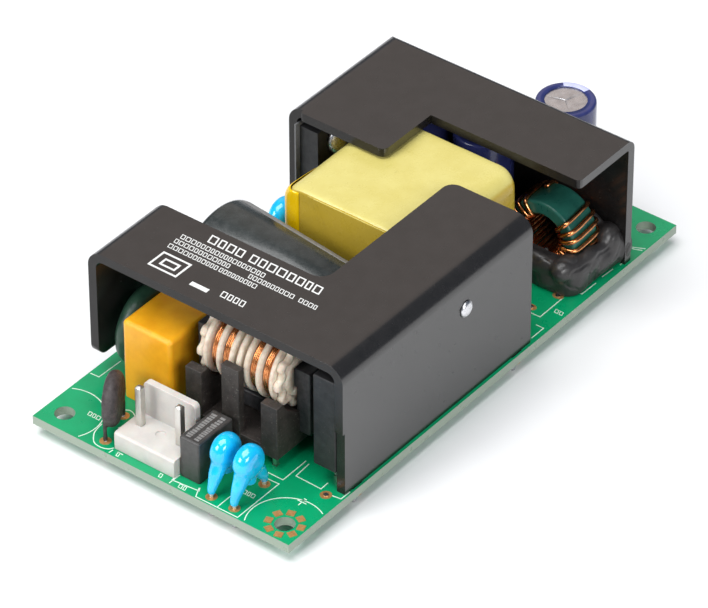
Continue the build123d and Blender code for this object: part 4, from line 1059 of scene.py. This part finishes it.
# %% [markdown]
# Black silicone is squeezed round the foot of the output choke while it is wet. It
# slumps, climbs the wire and the wall a little and cures glossy, with creases where the
# nozzle moved on. Round lumps are set into the plain CAD shape, all of it is rebuilt in
# small cells, and the result is ironed until the lumps flow together.

# %% The adhesive
def adhesive(name, lumps):
    """Round lumps set into the plain shape, flowed together and creased."""
    made = solid_copy(name, "output_choke_adhesive")
    form = bmesh.new()
    form.from_mesh(made.data)
    for centre, reach in lumps:
        size = Matrix.Diagonal((*[r / 1000 for r in reach], 1))
        place = Matrix.Translation(at(*centre)) @ size
        bmesh.ops.create_icosphere(form, subdivisions=3, radius=1, matrix=place)
    form.to_mesh(made.data)
    form.free()
    recast(made, 0.28, 14)
    for point in made.data.vertices:
        spot = point.co * 1000
        crease = max(0.10 - abs(noise.noise(spot / 3.1 + Vector((4, 0, 0)))), 0) / 0.10
        point.co += point.normal * (0.30 * noise.noise(spot / 5.0) - 0.16 * crease) / 1000
        point.co.z = max(point.co.z, at(0, 0).z)
    smooth_all(made)
    return place_piece(made, silicone, "black_adhesive", "output_choke_adhesive")


LUMPS = (((76.5, 4.0, 4.6), (3.2, 2.2, 2.2)), ((80.5, 2.9, 3.8), (3.6, 1.8, 2.6)),
         ((86.6, 3.2, 4.4), (2.8, 2.4, 3.4)), ((88.8, 1.7, 2.6), (1.9, 1.3, 3.2)),
         ((86.8, 8.0, 6.2), (1.4, 4.0, 2.6)), ((84.5, 2.2, 2.4), (4.2, 1.5, 2.2)),
         ((75.2, 9.5, 4.4), (1.6, 5.0, 2.2)), ((86.4, 14.5, 5.0), (1.6, 3.0, 2.2)),
         ((75.7, 7.0, 2.2), (1.9, 2.6, 3.0)))
adhesive("choke_adhesive", LUMPS)

# %% [markdown]
# Each power device is held by a machine screw from inside. Its end comes through the
# wall and shows the last threads. The thread is turned as fine ridges, because at this
# size a ridge and a true helix look the same.

# %% The two screws
SCREW_HEIGHT, HEAD_RADIUS = 17.4, 2.8


def screw(name, node, x, tip_y, seat_y):
    """A pan head screw along y; the tip and the seat give its direction."""
    side = 1 if seat_y > tip_y else -1
    length = abs(seat_y - tip_y)
    profile = [(0.9, 0.0), (1.2, 0.12)]
    height = 0.2
    while height < length - 0.4:
        profile += [(1.24, height), (1.48, height + 0.18)]
        height += 0.4
    profile += [(1.3, length - 0.1), (HEAD_RADIUS - 0.05, length), (HEAD_RADIUS, length + 0.4)]
    for i in range(6):
        turn = math.radians(i * 15)
        profile.append((HEAD_RADIUS * math.cos(turn) * 0.98, length + 0.6 + 1.35 * math.sin(turn)))
    along = Matrix.Rotation(-side * math.pi / 2, 4, "X")
    place = Matrix.Translation(at(x, tip_y, SCREW_HEIGHT)) @ along
    return keep(name, turned_form(bmesh.new(), profile, place, 40), zinc, "screw_steel", node)


screw("transistor_screw", "switch_transistor_screw", 44.9, 0.0, 6.1)
screw("rectifier_screw", "output_rectifier_screw", 68.5, 50.15, 44.05)

# %% [markdown]
# The board's white ink shows the outline of every part, so that the person who fits them
# knows the place. The outlines and plain marks are laid as flat lines 0.03 mm high, and
# the bare pads as thin discs of copper.

# %% Outlines on the board
INK = 0.16


def arc_runs(centre, radius, steps=72, margin=0.25):
    """The parts of a circle that lie on the board."""
    runs, run = [], []
    for i in range(steps + 1):
        turn = 2 * math.pi * i / steps
        x, y = centre[0] + radius * math.cos(turn), centre[1] + radius * math.sin(turn)
        if margin < x < BOARD_LENGTH - margin and margin < y < BOARD_WIDTH - margin:
            run.append((x, y))
        elif run:
            runs.append(run)
            run = []
    return [line for line in runs + [run] if len(line) > 1]


def curve(points, steps=6):
    """A smooth line through places, for loops drawn round a part."""
    line = []
    for i in range(len(points) - 1):
        p0, p1 = points[max(i - 1, 0)], points[i]
        p2, p3 = points[i + 1], points[min(i + 2, len(points) - 1)]
        for k in range(steps):
            t = k / steps
            line.append(tuple(0.5 * (2 * b + (c - a) * t + (2 * a - 5 * b + 4 * c - d) * t * t
                                     + (3 * b - a - 3 * c + d) * t ** 3)
                              for a, b, c, d in zip(p0, p1, p2, p3)))
    return line + [points[-1]]


LINES = (
    ((0.3, 35.6), (1.2, 35.5)), ((0.3, 23.58), (2.84, 23.51)), ((1.29, 34.59), (1.2, 33.51)),
    ((13.63, 50.5), (13.72, 48.83), (18.94, 48.69)),
    ((2.37, 23.72), (1.16, 23.71), (1.65, 18.78), (2.3, 19.11)),
    ((2.2, 19.2), (0.3, 18.33), (0.35, 10.18), (10.44, 10.16), (10.35, 12.23)),
    ((0.35, 14.18), (10.35, 14.2)),
    ((11.57, 13.4), (11.57, 10.27), (17.32, 10.31)),
    ((17.03, 9.5), (13.54, 9.29), (13.43, 4.34), (15.22, 4.37)),
    ((13.15, 2.37), (13.43, 0.45), (15.58, 0.39)),
    ((77.02, 3.13), (77.36, 1.4), (81.07, 1.32)), ((82.95, 1.48), (85.75, 1.32)),
    ((87.3, 1.04), (89.71, 0.98), (90.04, 1.42)),
    ((92.2, 2.56), (93.34, 0.3)), ((68.38, 4.92), (68.42, 3.17), (74.65, 3.19)),
    ((63.2, 1.0), (66.4, 1.0), (66.4, 2.5)), ((91.0, 25.2), (100.4, 25.2), (100.4, 42.6), (91.0, 42.6)),
    ((53.0, 44.2), (62.0, 44.2)), ((53.0, 48.9), (62.0, 48.9)),
)
THERMISTOR_LOOPS = (
    ((5.04, 40.94), (3.6, 40.75), (2.39, 40.34), (0.89, 39.08), (0.53, 37.57), (0.91, 36.28), (1.66, 35.7)),
    ((9.78, 40.45), (10.26, 39.43), (9.5, 37.99), (7.79, 37.38), (5.8, 38.35)),
)
HOLE_INSET, HOLE_CIRCLE = 3.55, 6.2
EARTH_X, EARTH_Y = 9.2, 4.7
drawn = [*LINES, *(curve(loop) for loop in THERMISTOR_LOOPS)]
for x in (HOLE_INSET, BOARD_LENGTH - HOLE_INSET):
    for y in (HOLE_INSET, BOARD_WIDTH - HOLE_INSET):
        drawn += arc_runs((x, y), HOLE_CIRCLE)
drawn += arc_runs(UPRIGHT[0][1], 5.4)
for i, half in enumerate((0.85, 0.55, 0.25)):
    x = EARTH_X + 0.42 * i
    drawn.append(((x, EARTH_Y - half), (x, EARTH_Y + half)))
drawn.append(((EARTH_X - 0.9, EARTH_Y), (EARTH_X, EARTH_Y)))
drawn += [((x - 0.6, y), (x + 0.6, y)) for x, y in ((98.9, 24.1), (98.9, 43.6))]
outlines = bmesh.new()
for line in drawn:
    ribbon(outlines, line, INK, 0.0)
ribbon(outlines, ((98.9, 43.0), (98.9, 44.2)), INK, 0.031)
keep("board_outlines", outlines, silk, "solder_mask", smooth=False)

# %% Bare pads and small ink cells
pads = bmesh.new()
PAD_THICK, OVAL_PADS = 0.05, ((74.59, 4.13), (69.63, 5.84))
ROUND_PADS = ((2.18, 37.84), (8.62, 39.56), (1.75, 16.4), (1.75, 11.9), (9.05, 11.9), (9.05, 16.4),
              (12.77, 2.85))
for place in ROUND_PADS:
    plate(pads, place, (0.95, 0.95), (0.0, PAD_THICK))
for place in OVAL_PADS:
    plate(pads, place, (0.75, 1.0), (0.0, PAD_THICK))
keep("top_pads", pads, copper_pad, "bare_copper", smooth=False)
dots = bmesh.new()
for place in (*OVAL_PADS, ROUND_PADS[-1]):
    plate(dots, place, (0.42, 0.42), (PAD_THICK, 0.16), 16)
keep("top_pad_solder", dots, tin, "solder", smooth=False)
labels = bmesh.new()
LABELS = ((5.84, 44.3, 42.0), (0.83, 34.4, 33.7), (0.92, 26.0, 25.3), (0.8, 22.0, 20.2),
          (5.77, 13.3, 11.3), (71.2, 2.2, 0.4))
for x, y_from, y_to in LABELS:
    print_row(labels, x, y_from, y_to, 0.9, 0.0)
keep("board_labels", labels, silk, "solder_mask", smooth=False)

# %% [markdown]
# The front plate carries white ink that was pressed through a screen: rows of plain
# leaning cells, two nested squares and a bar. It is laid as thin flat lines on the
# plate, so that it catches the light as ink does.

# %% The print on the front plate
PLATE_TOP = 24.4
ROWS = ((27.55, 37.0, 30.8, 1.9), (27.55, 28.9, 15.4, 1.9), (25.3, 40.9, 24.0, 1.05),
        (23.85, 41.0, 29.6, 1.0), (23.85, 26.3, 17.8, 1.0), (23.85, 16.5, 13.2, 1.0),
        (22.35, 41.0, 31.3, 1.0), (22.35, 30.9, 23.2, 1.0), (17.8, 26.8, 21.9, 1.4))
block_print = bmesh.new()
for x, y_from, y_to, height_mm in ROWS:
    print_row(block_print, x, y_from, y_to, height_mm, PLATE_TOP)
for low_x, high_x, low_y, high_y in ((16.8, 20.5, 35.15, 40.45), (17.9, 19.3, 36.35, 39.1)):
    square = ((low_x, low_y), (high_x, low_y), (high_x, high_y), (low_x, high_y))
    ribbon(block_print, square, 0.36, PLATE_TOP, closed=True)
ribbon(block_print, ((17.0, 28.9), (17.0, 32.3)), 0.9, PLATE_TOP)
keep("plate_print", block_print, white_ink, "black_anodised", smooth=False)

# %% [markdown]
# Under the board each lead ends in a small hill of solder, hollow on its flank where the
# melt pulled itself up the lead. The CAD cones give the places, and a lathe profile
# gives the hollow flank. Broad tracks lie under the green mask between the joints and
# show only as low steps.

# %% Solder and tracks under the board
def islands(node):
    """Middle and highest corner of each separate solid of a node, always in the same order."""
    form = bmesh.new()
    form.from_mesh(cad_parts[node].data)
    bmesh.ops.remove_doubles(form, verts=form.verts, dist=1e-6)
    seen, found = set(), []
    for first in form.verts:
        if first in seen:
            continue
        seen.add(first)
        todo, group = [first], []
        while todo:
            corner = todo.pop()
            group.append(corner.co.copy())
            for edge in corner.link_edges:
                other = edge.other_vert(corner)
                if other not in seen:
                    seen.add(other)
                    todo.append(other)
        low = Vector([min(spot[i] for spot in group) for i in range(3)])
        high = Vector([max(spot[i] for spot in group) for i in range(3)])
        found.append(((low + high) / 2, high))
    form.free()
    return found


joints = bmesh.new()
FLANK = ((1.08, 0.0), (1.0, 0.16), (0.78, 0.42), (0.60, 0.85), (0.50, 1.35), (0.43, 1.82),
         (0.33, 1.97), (0.22, 2.0))
joint_places = []
for middle, high in islands("solder_joints"):
    foot = Matrix.Translation((middle.x, middle.y, high.z)) @ Matrix.Rotation(math.pi, 4, "X")
    lean = random.uniform(0, 6.28)
    uneven_flank = lambda turn, h, s=lean: 0.05 * math.sin(turn * 2 + s) * (1.0 - h / 2.2)
    turned_form(joints, FLANK, foot, 24, wobble=uneven_flank)
    joint_places.append((middle.x * 1000 + BOARD_LENGTH / 2, middle.y * 1000 + BOARD_WIDTH / 2))
keep("solder_hills", joints, tin, "solder", "solder_joints")

tracks = bmesh.new()
TRACK, PAD_DEPTH, PAD_REACH = 0.05, 0.07, 1.35
joint_places.sort()
for first, second in zip(joint_places[::2], joint_places[1::2]):
    away = math.hypot(second[0] - first[0], second[1] - first[1])
    if 2.0 < away < 16.0:
        bend = (second[0], first[1])
        bent = abs(bend[1] - second[1]) > 1 and abs(bend[0] - first[0]) > 1
        line = [first, bend, second] if bent else [first, second]
        ribbon(tracks, line, 1.5, BOARD_BOTTOM - TRACK, TRACK)
keep("buried_tracks", tracks, mask_over_copper, "solder_mask", smooth=False)
rings_under = bmesh.new()
for place in joint_places:
    plate(rings_under, place, (PAD_REACH, PAD_REACH), (BOARD_BOTTOM - PAD_DEPTH, BOARD_BOTTOM))
keep("under_pads", rings_under, copper_pad, "bare_copper", smooth=False)
